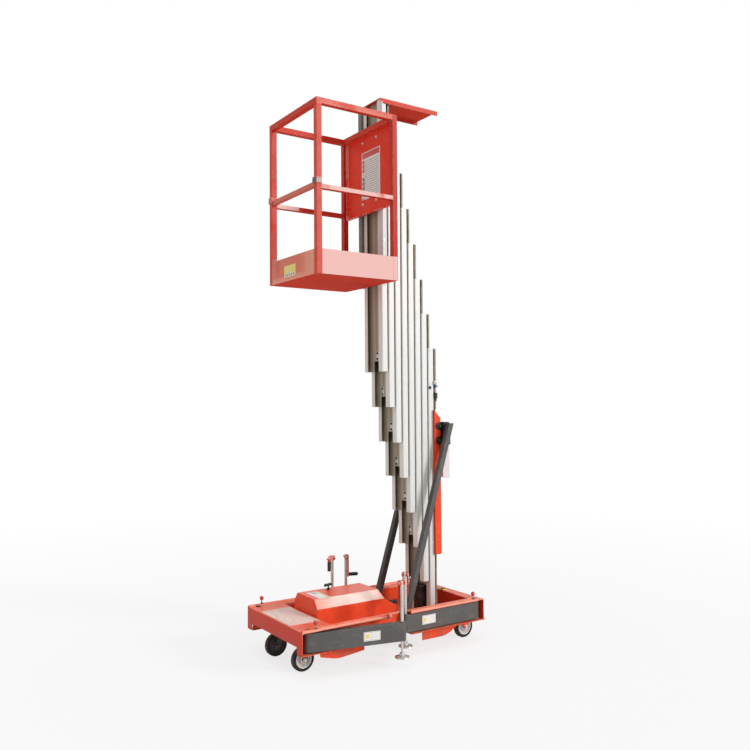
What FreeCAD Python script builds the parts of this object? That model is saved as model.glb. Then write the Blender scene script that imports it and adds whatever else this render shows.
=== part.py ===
import FreeCAD, Part
import os
import re

from FreeCAD import Placement, Rotation, Vector
import Sketcher

# Push-around vertical mast lift: open chassis on four wheels, four swing-out outriggers with
# screw jacks, an eight-section nested aluminium mast and a one-person cage.
# Axes: +X from the cage end to the mast end, +Y to the left of a user facing the mast, +Z up.
# Origin: on the floor under the middle of the chassis. Millimetres.

SIZES = [
    # chassis: places along it are measured from the front plate, or from the back where named so
    ("base_length", 1420), ("base_width", 754), ("deck_top", 294), ("skirt_bottom", 152),
    ("sheet", 4), ("pocket_depth", 70), ("rail_radius", 11), ("window_room", 12),
    ("deck_length", 235), ("foot_flange", 15), ("arch_inset", 50), ("arch_slope", 20),
    ("arch_rise", 44), ("beam_front", 95), ("beam_length", 110), ("beam_height", 94),
    ("boss_wall", 14), ("pan_start", 215), ("rear_beam", 75),
    ("tread_front", 10), ("tread_length", 210), ("tread_width", 400), ("tread_plate", 3),
    # skid plates under the side channels
    ("skid_plate", 5), ("skid_drop", 77), ("skid_round", 200),
    ("skid_start", 150), ("skid_toe", 168), ("skid_toe_drop", 48), ("skid_low", 288),
    ("skid_end", 484), ("skid_end_drop", 58),
    ("skid_back_start", 478), ("skid_back_low", 274), ("skid_back_end", 130),
    # power pack housing
    ("pack_front", 240), ("pack_top_length", 484), ("pack_half", 152.5), ("pack_top", 403),
    ("pack_top_half", 112.5), ("pack_shift", 12.5), ("pack_shoulder", 345), ("pack_slope", 28), ("pack_tail", 850),
    ("pack_tail_top", 285), ("pack_skin", 3), ("pack_round", 8),
    ("pump_start", 60), ("pump_length", 380), ("pump_width", 190), ("pump_height", 130),
    # outriggers
    ("arm_under", 9), ("arm_over", 13), ("arm_width", 50), ("arm_wall", 4), ("arm_plug", 8),
    ("arm_axis", 38), ("reach_front", 612), ("reach_rear", 590), ("pivot_front", 60),
    ("pivot_rear", 50), ("front_swing", 12.5), ("far_swing", 5.5), ("pin_radius", 12.5), ("pin_play", 0.05),
    ("pin_cap", 6), ("pin_rim", 3), ("lock_along", 38), ("lock_collar", 9), ("lock_ball", 15),
    ("lock_stem", 4), ("lock_seat", 11), ("lock_height", 71),
    # screw jacks
    ("jack_radius", 11), ("jack_play", 0.05), ("jack_foot_bottom", 70), ("jack_drop", 14),
    ("jack_length", 464), ("jack_head", 13), ("jack_foot_radius", 48), ("neck_radius", 7.5),
    ("neck_length", 95), ("bolt_radius", 5), ("bolt_end", 4), ("crank_length", 146),
    ("crank_width", 38), ("crank_gap", 3), ("crank_ear", 14), ("crank_plate", 5),
    ("grip_length", 72), ("grip_radius", 10),
    # wheels
    ("wheel_radius", 75), ("wheel_width", 42), ("rim_radius", 54), ("hub_bore", 8),
    ("hub_radius", 22), ("axle_play", 0.05), ("caster_axis", 150), ("caster_side", 180),
    ("caster_trail", 40), ("crown_radius", 42), ("crown_top", 186), ("crown_plate", 8),
    ("king_radius", 10), ("king_length", 60), ("fork_plate", 5), ("fork_gap", 5.5),
    ("fork_round", 16), ("fork_rake", 30), ("rear_axle", 39), ("rear_side", 200),
    ("bracket_rake", 60),
    # mast
    ("section_length", 1870), ("section_pitch", 56), ("section_lift", 243), ("mast_front", 770),
    ("mast_half", 110), ("panel_depth", 45), ("panel_wall", 5), ("lip_width", 42), ("lip", 4),
    ("corner_round", 9), ("web_back", 20), ("stem_near", 54), ("stem_wall", 7),
    ("guide_front", 63), ("guide_depth", 7), ("guide_far", 99), ("pad_play", 0.3),
    ("pad_height", 120), ("pad_pitch", 380), ("pad_rise", 40),
    ("notch_right", 45), ("notch_left", 17), ("notch_height", 72), ("chain_bolt", 4),
    ("chain_bolt_rise", 16.5), ("chain_bolt_pitch", 39), ("side_hole", 3),
    ("side_hole_back", 15), ("side_hole_drop", 16),
    ("cap_sheet", 4), ("cap_flange", 28), ("cap_margin", 6), ("cap_lead", 7), ("cap_tail", 495),
    # mast supports
    ("spine_seat", 38), ("spine_half", 128), ("spine_depth", 54), ("spine_bottom", 582),
    ("spine_length", 1012), ("spine_slope", 58),
    ("brace_size", 40), ("brace_wall", 3), ("brace_side", 181), ("brace_foot", 860),
    ("brace_behind", 22), ("brace_top", 1500), ("bracket_over", 10), ("bracket_height", 160),
    ("bracket_wall", 8), ("bracket_grip", 44), ("bracket_round", 25), ("lug_height", 58),
    ("cylinder_width", 96), ("cylinder_gap", 5), ("cylinder_height", 200),
    # cage
    ("cage_length", 612), ("cage_width", 649), ("cage_height", 1100), ("cage_bottom", 2449),
    ("post", 38), ("post_wall", 2.5), ("rail_height", 28), ("mid_rail", 3008),
    ("floor_sheet", 4), ("toe_height", 152), ("toe_sheet", 3), ("toe_tab", 60),
    ("toe_tab_height", 18), ("back_width", 557), ("back_bottom", 2958), ("back_flange", 25),
    ("back_sheet", 3), ("mount_gap", 15), ("angle_width", 40), ("angle_wall", 6),
    ("angle_depth", 52), ("bar_size", 30), ("bar_drop", 12), ("bar_inset", 4),
    ("collar_height", 40), ("collar_wall", 5), ("collar_play", 0.5), ("collar_rise", 1),
]

doc = FreeCAD.newDocument("mast_lift")
sheet = doc.addObject("Spreadsheet::Sheet", "sizes")
for line, (word, number) in enumerate(SIZES, 1):
    sheet.set(f"A{line}", str(number))
    sheet.setAlias(f"A{line}", word)
doc.recompute()
WORDS = {word for word, number in SIZES}
NODES = []


def cells(text):
    """Point each size's word in an expression at its cell."""
    return re.sub(r"[a-z][a-z_]*", lambda m: "sizes." + m[0] if m[0] in WORDS else m[0], text)


def bind(obj, prop, text):
    obj.setExpression(prop, cells(text))


def put(obj, at, turn=None):
    """Place an object: a fixed turn, and a corner or centre worked out from the sheet."""
    if turn:
        obj.Placement = Placement(Vector(), turn)
    for axis, text in zip("xyz", at):
        bind(obj, f"Placement.Base.{axis}", text)
    return obj


TURNS = {"x": Rotation(Vector(0, 1, 0), 90), "y": Rotation(Vector(1, 0, 0), -90), "z": None}
# A sliver that a cutting tool reaches past the faces it cuts through.
OVER = "1"


def box(name, at, length, width, height):
    made = doc.addObject("Part::Box", name)
    bind(made, "Length", length)
    bind(made, "Width", width)
    bind(made, "Height", height)
    return put(made, at)


def rod(name, at, radius, height, along="z"):
    made = doc.addObject("Part::Cylinder", name)
    bind(made, "Radius", radius)
    bind(made, "Height", height)
    return put(made, at, TURNS[along])


def fuse(name, parts):
    made = doc.addObject("Part::MultiFuse", name)
    made.Shapes = parts
    made.Refine = True
    return made


def cut(name, base, tools):
    made = doc.addObject("Part::Cut", name)
    made.Base = base
    made.Tool = tools[0] if len(tools) == 1 else fuse(name + "_tools", tools)
    made.Refine = True
    return made


def common(name, one, other):
    made = doc.addObject("Part::Common", name)
    made.Base = one
    made.Tool = other
    return made


def group(name, parts):
    made = doc.addObject("Part::Compound", name)
    made.Links = parts
    return made


def mirror(name, source):
    """The other side's copy, mirrored in the chassis' middle plane."""
    made = doc.addObject("Part::Mirroring", name)
    made.Source = source
    made.Normal = Vector(0, 1, 0)
    return made


def outline(body, plane, points, offset="0"):
    """A closed sketch of straight lines on one of the body's own planes."""
    sketch = body.newObject("Sketcher::SketchObject", body.Name + "_sketch")
    face = [o for o in body.Origin.OriginFeatures if o.Role == plane][0]
    sketch.AttachmentSupport = [(face, "")]
    sketch.MapMode = "FlatFace"
    bind(sketch, "AttachmentOffset.Base.z", offset)
    spots = [Vector(10 * n, 7 * n * n, 0) for n in range(len(points))]
    for here, there in zip(spots, spots[1:] + spots[:1]):
        sketch.addGeometry(Part.LineSegment(here, there), False)
    count = len(points)
    for n in range(count):
        sketch.addConstraint(Sketcher.Constraint("Coincident", n, 2, (n + 1) % count, 1))
    for n, spot in enumerate(points):
        for kind, text in zip(("DistanceX", "DistanceY"), spot):
            index = sketch.addConstraint(Sketcher.Constraint(kind, -1, 1, n, 1, 10 * n + 1.0))
            bind(sketch, f"Constraints[{index}]", text)
    return sketch


def prism(name, plane, points, length, start="0"):
    """A straight extrusion. On XZ_Plane it runs towards -Y from start, else along the normal."""
    body = doc.addObject("PartDesign::Body", name)
    sketch = outline(body, plane, points, f"-({start})" if plane == "XZ_Plane" else start)
    pad = body.newObject("PartDesign::Pad", name + "_pad")
    pad.Profile = sketch
    bind(pad, "Length", length)
    return body


def rounded(body, corners, radius):
    """Round the long edges that a straight extrusion draws from some corners of its sketch."""
    doc.recompute()
    pad = body.Tip
    sketch = pad.Profile[0]
    way = sketch.Placement.Rotation.multVec(Vector(0, 0, 1))
    found = []
    for corner in corners:
        spot = sketch.Placement.multVec(sketch.Geometry[corner].StartPoint)
        for count, edge in enumerate(pad.Shape.Edges, 1):
            ends = [v.Point for v in edge.Vertexes]
            lengthways = abs(edge.tangentAt(edge.FirstParameter).dot(way)) > 0.99
            if lengthways and any(end.isEqual(spot, 0.001) for end in ends):
                found.append(f"Edge{count}")
    round_off = body.newObject("PartDesign::Fillet", body.Name + "_round")
    round_off.Base = (pad, found)
    bind(round_off, "Radius", radius)
    return body


def turned(name, points, at=("0", "0", "0"), turn=None):
    """A turned piece: an outline of radius and height about the upright axis."""
    body = doc.addObject("PartDesign::Body", name)
    sketch = outline(body, "XZ_Plane", points)
    spin = body.newObject("PartDesign::Revolution", name + "_spin")
    spin.Profile = sketch
    spin.ReferenceAxis = (sketch, ["V_Axis"])
    spin.Angle = 360
    return put(body, at, turn)


def node(label, obj):
    obj.Label = label
    NODES.append(obj)
    return obj


def along(text):
    """The X of a place measured back from the chassis' front plate."""
    return f"{text} - base_length / 2"


# Sides: word, and the sign of Y.
SIDES = (("right", "-1"), ("left", "1"))
HALF = "base_width / 2"
PAN_TOP = "(skirt_bottom + 2 * sheet)"
ARM_BOTTOM = "(skirt_bottom + sheet + arm_under)"
ARM_HEIGHT = f"(deck_top - sheet - arm_over - {ARM_BOTTOM})"
# Outrigger corners: the pivot's place from the front plate, word, and the sign of Y.
CORNERS = [
    ("pivot_front", "front_right", "-1"), ("pivot_front", "front_left", "1"),
    ("(base_length - pivot_rear)", "rear_right", "-1"),
    ("(base_length - pivot_rear)", "rear_left", "1"),
]
# The gap in the side channels where the folded arms' jacks stand.
WINDOW_START = "(pivot_front + reach_front - jack_radius - window_room)"
WINDOW_END = "(base_length - pivot_rear - reach_rear + jack_radius + window_room)"


def lock_spot(place, word, sign):
    """Plan place of an arm's lock pin, on the rail's line beside the pivot."""
    shift = "+ lock_along" if "front" in word else "- lock_along"
    return along(f"{place} {shift}"), f"{sign} * ({HALF} - rail_radius)"


def side_channels():
    """Two outward channels with tube rails, open where the jacks stand, with pivot holes."""
    web = f"-{HALF} + pocket_depth"
    channel = prism("channel", "YZ_Plane", [
        (f"-{HALF}", "deck_top"), (f"{web} + sheet", "deck_top"),
        (f"{web} + sheet", "skirt_bottom"), (f"-{HALF}", "skirt_bottom"),
        (f"-{HALF}", "skirt_bottom + sheet"), (web, "skirt_bottom + sheet"),
        (web, "deck_top - sheet"), (f"-{HALF}", "deck_top - sheet"),
    ], "base_length - 2 * sheet", "-base_length / 2 + sheet")
    rail_y = f"-{HALF} + rail_radius"
    rails = [
        rod("rail_front", (along("sheet"), rail_y, "deck_top"), "rail_radius",
            f"{WINDOW_START} - sheet", "x"),
        rod("rail_rear", (along(WINDOW_END), rail_y, "deck_top"), "rail_radius",
            f"base_length - pivot_rear - {WINDOW_END}", "x"),
    ]
    deep = "arm_axis + jack_radius + window_room"
    holes = [box("jack_window", (along(WINDOW_START), f"-{HALF} - {OVER}", f"skirt_bottom - {OVER}"),
                 f"{WINDOW_END} - {WINDOW_START}", f"{deep} + {OVER}",
                 f"deck_top - skirt_bottom + rail_radius + 2 * {OVER}")]
    for place, word, sign in CORNERS:
        if sign == "1":
            continue
        spot = (along(place), f"-{HALF} + arm_axis", f"skirt_bottom - {OVER}")
        holes.append(rod(f"pivot_hole_{word}", spot, "pin_radius", f"deck_top - skirt_bottom + 2 * {OVER}"))
        x, y = lock_spot(place, word, sign)
        holes.append(rod(f"lock_hole_{word}", (x, y, f"deck_top - lock_seat - {OVER}"),
                         "lock_collar + pin_play", "lock_height"))
    right = cut("side_channel", fuse("side_solid", [channel] + rails), holes)
    node("side_channels", group("side_channels", [right, mirror("side_channel_left", right)]))


def end_plate(name, place):
    """A cross plate whose lower edge is cut up between two feet."""
    arch = f"{HALF} - arch_inset"
    return prism(name, "YZ_Plane", [
        (f"-{HALF}", "deck_top"), (HALF, "deck_top"), (HALF, "skirt_bottom"), (arch, "skirt_bottom"),
        (f"{arch} - arch_slope", "skirt_bottom + arch_rise"),
        (f"-({arch}) + arch_slope", "skirt_bottom + arch_rise"),
        (f"-({arch})", "skirt_bottom"), (f"-{HALF}", "skirt_bottom"),
    ], "sheet", place)


def chassis():
    """Front plate with deck and caster beam; pan with the rear plate and its box beam."""
    inside = f"-{HALF} + pocket_depth + sheet"
    across = "base_width - 2 * (pocket_depth + sheet)"
    beam_bottom = "(deck_top - sheet - beam_height)"
    deck = box("deck", (along("sheet"), inside, "deck_top - sheet"), "deck_length - sheet", across, "sheet")
    beam = box("beam", (along("beam_front"), inside, beam_bottom), "beam_length", across, "beam_height")
    trough = box("beam_hollow", (along("beam_front + sheet"), f"{inside} - {OVER}", f"{beam_bottom} + sheet"),
                 "beam_length - 2 * sheet", f"{across} + 2 * {OVER}", "beam_height - 2 * sheet")
    bosses = []
    bores = []
    for word, sign in SIDES:
        x, y = along("caster_axis"), f"{sign} * caster_side"
        bosses.append(rod("boss_" + word, (x, y, beam_bottom), "king_radius + boss_wall", "beam_height"))
        bores.append(rod("bore_" + word, (x, y, f"{beam_bottom} - {OVER}"), "king_radius + axle_play",
                         f"crown_top + king_length - {beam_bottom} + 2 * {OVER}"))
    open_beam = cut("open_beam", beam, [trough])
    front = fuse("front_solid", [end_plate("front_plate", along("0")), deck, open_beam] + bosses)
    node("front_deck", cut("front_deck", front, bores))
    rear = along("base_length - rear_beam")
    frame = [
        end_plate("rear_plate", along("base_length - sheet")),
        box("pan", (along("pan_start"), inside, "skirt_bottom + sheet"),
            "base_length - pan_start - sheet", across, "sheet"),
        box("rear_top", (rear, inside, "deck_top - sheet"), "rear_beam - sheet", across, "sheet"),
        box("rear_wall", (rear, inside, "skirt_bottom + sheet"), "sheet", across,
            "deck_top - skirt_bottom - sheet"),
    ]
    for word, y in (("right", f"-{HALF}"), ("left", f"{HALF} - arch_inset")):
        frame.append(box("foot_lip_" + word, (along("base_length - sheet"), y, "skirt_bottom"),
                         "sheet + foot_flange", "arch_inset", "sheet"))
    node("chassis_frame", fuse("chassis_frame", frame))


def chassis_fittings():
    """Tread, skid plates, pivot pins and lock pins, all fixed to the chassis."""
    node("step_tread", box("step_tread", (along("tread_front"), "-tread_width / 2", "deck_top"),
                           "tread_length", "tread_width", "tread_plate"))
    low = "skirt_bottom - skid_drop"
    front = [
        ("skid_start", "skirt_bottom"), ("skid_end", "skirt_bottom"),
        ("skid_end", "skirt_bottom - skid_end_drop"), ("skid_low", low),
        ("skid_toe", "skirt_bottom - skid_toe_drop"),
    ]
    back = [
        ("base_length - skid_back_start", "skirt_bottom"), ("base_length - skid_back_start", low),
        ("base_length - skid_back_low", low), ("base_length - skid_back_end", "skirt_bottom"),
    ]
    plates = []
    for word, points, corner in (("front", front, 3), ("rear", back, 2)):
        skid = prism(f"skid_{word}", "XZ_Plane", [(along(x), z) for x, z in points], "skid_plate",
                     f"-{HALF} + pocket_depth + skid_plate")
        rounded(skid, [corner], "skid_round")
        plates += [skid, mirror(f"skid_{word}_left", skid)]
    node("skid_plates", group("skid_plates", plates))
    pins = []
    locks = []
    thick = "deck_top - skirt_bottom"
    for place, word, sign in CORNERS:
        pins.append(turned("pivot_" + word, [
            ("0", "0"), ("pin_radius", "0"), ("pin_radius", thick), ("pin_radius + pin_rim", thick),
            ("pin_radius + pin_rim", f"{thick} + pin_cap * 2 / 3"), ("pin_radius", f"{thick} + pin_cap"),
            ("0", f"{thick} + pin_cap"),
        ], (along(place), f"{sign} * ({HALF} - arm_axis)", "skirt_bottom")))
        x, y = lock_spot(place, word, sign)
        locks.append(turned("lock_" + word, [
            ("0", "0"), ("lock_collar", "0"), ("lock_collar", "lock_height - 3 * lock_ball - 1"),
            ("lock_stem", "lock_height - 3 * lock_ball + 3"), ("lock_stem", "lock_height - 2 * lock_ball"),
            ("lock_ball * 0.7", "lock_height - 1.7 * lock_ball"), ("lock_ball", "lock_height - lock_ball"),
            ("lock_ball * 0.7", "lock_height - 0.3 * lock_ball"), ("0", "lock_height"),
        ], (x, y, "deck_top - lock_seat")))
    node("pivot_pins", group("pivot_pins", pins))
    node("lock_pins", group("lock_pins", locks))


def power_pack():
    """Folded housing with a chamfered roof and a sloped tail, and the pump unit under it."""
    roof_end = "pack_front + pack_top_length"

    def hull(tag, skin, drop):
        floor = f"{PAN_TOP} - {drop}"
        side = prism(tag + "_side", "XZ_Plane", [
            (along(f"pack_front + {skin}"), floor),
            (along(f"pack_front + {skin}"), f"pack_top - {skin}"),
            (along(f"{roof_end} - {skin}"), f"pack_top - {skin}"),
            (along(f"{roof_end} + pack_slope - {skin}"), f"pack_shoulder - {skin}"),
            (along(f"pack_tail - {skin}"), f"pack_tail_top - {skin}"),
            (along(f"pack_tail - {skin}"), floor),
        ], "2 * pack_half", "pack_half")
        face = prism(tag + "_face", "YZ_Plane", [
            (f"-pack_half + {skin}", floor), (f"-pack_half + {skin}", f"pack_shoulder - {skin}"),
            (f"-pack_top_half + {skin}", f"pack_top - {skin}"),
            (f"pack_top_half - {skin}", f"pack_top - {skin}"),
            (f"pack_half - {skin}", f"pack_shoulder - {skin}"), (f"pack_half - {skin}", floor),
        ], "base_length", "-base_length / 2")
        if skin == "0":
            rounded(side, [3], "pack_round")
            rounded(face, [1, 2, 3, 4], "pack_round")
        return common(tag, side, face)

    cover = cut("power_pack_cover", hull("pack_outer", "0", "0"), [hull("pack_inner", "pack_skin", OVER)])
    node("power_pack_cover", put(cover, ("0", "pack_shift", "0")))
    node("pump_unit", box("pump_unit", (along("pack_front + pump_start"), "-pump_width / 2", PAN_TOP),
                          "pump_length", "pump_width", "pump_height"))


def outriggers():
    """Open-bottomed arms, each with a pivot tube at its root and a jack tube at its tip."""
    for place, word, sign in CORNERS:
        long = "reach_front" if "front" in word else "reach_rear"
        body = box(f"arm_body_{word}", ("0", "-arm_width / 2", "0"), long, "arm_width", ARM_HEIGHT)
        root = rod(f"arm_root_{word}", ("0", "0", "0"), "arm_width / 2", ARM_HEIGHT)
        tip = rod(f"arm_tip_{word}", (long, "0", "0"), "arm_width / 2", ARM_HEIGHT)
        corner = ("arm_width / 2 + arm_plug", "-arm_width / 2 + arm_wall", f"-{OVER}")
        hollow = box(f"arm_hollow_{word}", corner, f"{long} - arm_width - 2 * arm_plug",
                     "arm_width - 2 * arm_wall", f"{ARM_HEIGHT} - arm_wall + {OVER}")
        through = f"{ARM_HEIGHT} + 2 * {OVER}"
        bore = rod(f"arm_bore_{word}", ("0", "0", f"-{OVER}"), "pin_radius + pin_play", through)
        sleeve = rod(f"arm_sleeve_{word}", (long, "0", f"-{OVER}"), "jack_radius + jack_play", through)
        solid = fuse(f"arm_solid_{word}", [body, root, tip])
        arm = cut(f"outrigger_arm_{word}", solid, [hollow, bore, sleeve])
        arm.Placement = Placement(Vector(), Rotation(Vector(0, 0, 1), 1))
        bind(arm, "Placement.Rotation.Angle", HEADINGS[word][0])
        for axis, text in zip("xyz", (along(place), f"{sign} * ({HALF} - arm_axis)", ARM_BOTTOM)):
            bind(arm, f"Placement.Base.{axis}", text)
        node(f"outrigger_arm_{word}", arm)
        jack(word, place, sign, long)


# Rest pose by corner: the arm's heading about +Z, the way the crank's grip points, and the
# crank's fold about its bolt, 0 hanging down and -90 swung out to work, all in degrees.
HEADINGS = {
    "front_right": ("-front_swing", 90, 0), "front_left": ("far_swing", 230, -90),
    "rear_right": ("180", 45, 0), "rear_left": ("180 - far_swing", -20, 0),
}


def jack_spot(word, place, sign, long):
    """The jack's axis in plan, at the end of its arm."""
    turn = f"({HEADINGS[word][0]}) * 1 deg"
    x = f"{place} - base_length / 2 + {long} * cos({turn})"
    y = f"{sign} * ({HALF} - arm_axis) + {long} * sin({turn})"
    return x, y


def jack(word, place, sign, long):
    """Screw jack: dished foot, thin neck, chrome tube, and a crank forked over its head."""
    grip_way, fold = HEADINGS[word][1:]
    x, y = jack_spot(word, place, sign, long)
    foot = "(jack_foot_bottom - jack_drop)" if word == "front_right" else "jack_foot_bottom"
    head = "jack_length + jack_head"
    pole = turned(f"jack_pole_{word}", [
        ("0", "0"), ("jack_foot_radius - 6", "0"), ("jack_foot_radius", "4"), ("jack_foot_radius - 2", "9"),
        ("jack_foot_radius * 0.6", "15"), ("neck_radius + 9", "17"), ("neck_radius + 9", "30"),
        ("neck_radius", "38"), ("neck_radius", "neck_length"), ("jack_radius", "neck_length + 3"),
        ("jack_radius", f"{head} - 3"), ("jack_radius - 3", head), ("0", head),
    ])
    hole = rod(f"bolt_hole_{word}", ("0", f"-jack_radius - {OVER}", "jack_length"), "bolt_radius + pin_play",
               f"2 * (jack_radius + {OVER})", "y")
    screw = cut(f"jack_screw_{word}", pole, [hole])
    node(f"jack_screw_{word}", put(screw, (x, y, foot), Rotation(Vector(0, 0, 1), grip_way)))

    web = "jack_radius + crank_gap"
    drop = "-crank_length + crank_width / 2"
    parts = [
        box(f"crank_plate_{word}", (web, "-crank_width / 2", drop), "crank_plate", "crank_width",
            f"crank_ear - ({drop})"),
        rod(f"crank_end_{word}", (web, "0", drop), "crank_width / 2", "crank_plate", "x"),
        rod(f"crank_bolt_{word}", ("0", "-crank_width / 2 - bolt_end", "0"), "bolt_radius",
            "crank_width + 2 * bolt_end", "y"),
        rod(f"grip_{word}", (f"{web} - grip_length" if fold else web, "0", drop), "grip_radius",
            "grip_length", "x"),
    ]
    for side, way in SIDES:
        inner = f"{way} * (crank_width / 2 - crank_plate / 2) - crank_plate / 2"
        parts.append(box(f"crank_ear_{side}_{word}", ("0", inner, "-crank_ear"), web, "crank_plate",
                         "2 * crank_ear"))
        parts.append(rod(f"crank_eye_{side}_{word}", ("0", inner, "0"), "crank_ear", "crank_plate", "y"))
    crank = fuse(f"jack_crank_{word}", parts)
    turn = Rotation(Vector(0, 0, 1), grip_way) * Rotation(Vector(0, 1, 0), fold)
    node(f"jack_crank_{word}", put(crank, (x, y, f"{foot} + jack_length"), turn))


def wheel(word, x, y):
    """Solid tyre and pressed hub with a bore for the axle."""
    half = "wheel_width / 2"
    turn = Rotation(Vector(1, 0, 0), -90)
    tyre = turned(f"tyre_{word}", [
        ("rim_radius", f"-{half} + 3"), ("wheel_radius - 8", f"-{half}"), ("wheel_radius", f"-{half} + 9"),
        ("wheel_radius", f"{half} - 9"), ("wheel_radius - 8", half), ("rim_radius", f"{half} - 3"),
    ], (x, y, "wheel_radius"), turn)
    node(f"tyre_{word}", tyre)
    bore = "hub_bore + axle_play"
    hub = turned(f"hub_{word}", [
        (bore, f"-{half} + 2"), ("hub_radius", f"-{half} + 2"), ("hub_radius + 4", f"-{half} + 12"),
        ("rim_radius - 10", f"-{half} + 14"), ("rim_radius - 4", f"-{half} + 3"),
        ("rim_radius", f"-{half} + 3"), ("rim_radius", f"{half} - 3"),
        ("rim_radius - 4", f"{half} - 3"), ("rim_radius - 10", f"{half} - 14"),
        ("hub_radius + 4", f"{half} - 12"), ("hub_radius", f"{half} - 2"), (bore, f"{half} - 2"),
    ], (x, y, "wheel_radius"), turn)
    node(f"hub_{word}", hub)


def wheel_cheeks(tag, axle_x, side, points):
    """The two plates beside a wheel, round at the axle's end, and the axle through them."""
    inner = "(wheel_width / 2 + fork_gap)"
    parts = [rod(f"axle_{tag}", (axle_x, f"{side} - {inner} - fork_plate", "wheel_radius"), "hub_bore",
                 f"2 * ({inner} + fork_plate)", "y")]
    for cheek, start in (("a", f"{side} - {inner}"), ("b", f"{side} + {inner} + fork_plate")):
        parts.append(prism(f"cheek_{cheek}_{tag}", "XZ_Plane", points, "fork_plate", start))
        parts.append(rod(f"cheek_end_{cheek}_{tag}", (axle_x, f"{start} - fork_plate", "wheel_radius"),
                         "fork_round", "fork_plate", "y"))
    return parts


def running_gear():
    """Swivel casters at the front and fixed brackets at the rear."""
    crown_bottom = "crown_top - crown_plate"
    for word, sign in SIDES:
        side = f"{sign} * caster_side"
        hub_x = along("caster_axis - caster_trail")
        wheel(f"front_{word}", hub_x, side)
        parts = [
            rod(f"crown_{word}", (along("caster_axis"), side, crown_bottom), "crown_radius", "crown_plate"),
            rod(f"king_{word}", (along("caster_axis"), side, "crown_top"), "king_radius", "king_length"),
        ]
        parts += wheel_cheeks(f"front_{word}", hub_x, side, [
            (f"{hub_x} - fork_round", "wheel_radius"), (f"{hub_x} + fork_round", "wheel_radius"),
            (along("caster_axis + fork_rake"), crown_bottom),
            (along("caster_axis - fork_rake"), crown_bottom),
        ])
        node(f"caster_fork_{word}", fuse(f"caster_fork_{word}", parts))
    brackets = []
    axle_x = along("base_length - rear_axle")
    under = "skirt_bottom + sheet"
    for word, sign in SIDES:
        side = f"{sign} * rear_side"
        wheel(f"rear_{word}", axle_x, side)
        cheeks = wheel_cheeks(f"rear_{word}", axle_x, side, [
            (f"{axle_x} - fork_round", "wheel_radius"), (f"{axle_x} + fork_round", "wheel_radius"),
            (f"{axle_x} + fork_rake", under), (f"{axle_x} - bracket_rake", under),
        ])
        brackets.append(fuse(f"rear_bracket_{word}", cheeks))
    node("rear_wheel_brackets", group("rear_wheel_brackets", brackets))


def section_plan(front):
    """Plan outline of one nested extrusion: boxed front channel, two back guides."""
    half = [
        ("0", "mast_half - lip_width"), ("0", "mast_half"), ("panel_depth", "mast_half"),
        ("panel_depth", "stem_near + stem_wall"), ("guide_front", "stem_near + stem_wall"),
        ("guide_front", "guide_far"), ("guide_front + guide_depth", "guide_far"),
        ("guide_front + guide_depth", "stem_near"), ("panel_depth - panel_wall", "stem_near"),
        ("panel_depth - panel_wall", "mast_half - panel_wall"),
        ("web_back + panel_wall", "mast_half - panel_wall"),
    ]
    mouth = [("web_back", "mast_half - panel_wall"), ("lip", "mast_half - panel_wall"),
             ("lip", "mast_half - lip_width")]
    left = [(f"{front} + {x}", y) for x, y in half]
    right = [(f"{front} + {x}", f"-({y})") for x, y in reversed(half)]
    closing = [(f"{front} + {x}", f"-({y})") for x, y in reversed(mouth)]
    opening = [(f"{front} + {x}", y) for x, y in mouth]
    return left + right + closing + opening


# Corners of the plan outline that are rounded: the two outer front ones.
ROUND_CORNERS = (1, 20)


def slide_pads(number, bottom):
    """Low-friction pads on a section's guides, running in the next section's front channel."""
    inner = "mast_half - panel_wall - pad_play"
    back = f"mast_front + {number} * section_pitch - base_length / 2"
    pads = []
    for word, sign in SIDES:
        y = f"{sign} * ((guide_far + {inner}) / 2) - ({inner} - guide_far) / 2"
        for level in range(2):
            spot = (f"{back} + lip + pad_play", y, f"{bottom} + pad_rise + {level} * pad_pitch")
            pads.append(box(f"pad_{number}_{word}_{level}", spot, "web_back - lip - 2 * pad_play",
                            f"{inner} - guide_far", "pad_height"))
    return pads


def chain_holes(number, front, bottom):
    """The web's notch for the lifting chains, and the two bolt holes of their anchor above it."""
    web = f"{front} + web_back - {OVER}"
    through = f"panel_wall + 2 * {OVER}"
    holes = [box(f"notch_{number}", (web, "-notch_right", f"{bottom} - {OVER}"), through,
                 "notch_left + notch_right", f"notch_height + {OVER}")]
    y = "-notch_right * 0.6" if number % 2 else "-notch_right * 0.13"
    for level in range(2):
        z = f"{bottom} + notch_height + chain_bolt_rise + {level} * chain_bolt_pitch"
        holes.append(rod(f"chain_bolt_{number}_{level}", (web, y, z), "chain_bolt", through, "x"))
    return holes


def mast():
    """Eight equal sections; number 1 carries the cage and number 8 stands in the chassis."""
    for number in range(1, 9):
        front = f"mast_front + {number - 1} * section_pitch - base_length / 2"
        bottom = f"{PAN_TOP} + {8 - number} * section_lift"
        shell = prism(f"extrusion_{number}", "XY_Plane", section_plan(front), "section_length", bottom)
        rounded(shell, ROUND_CORNERS, "corner_round")
        holes = [rod(f"side_hole_{number}", (f"{front} + side_hole_back", f"-mast_half - {OVER}",
                                             f"{bottom} + section_length - side_hole_drop"),
                     "side_hole", f"2 * (mast_half + {OVER})", "y")]
        solid = shell
        if number < 8:
            holes += chain_holes(number, front, bottom)
            solid = fuse(f"padded_{number}", [shell] + slide_pads(number, bottom))
        node(f"mast_section_{number}", cut(f"mast_section_{number}", solid, holes))


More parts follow.
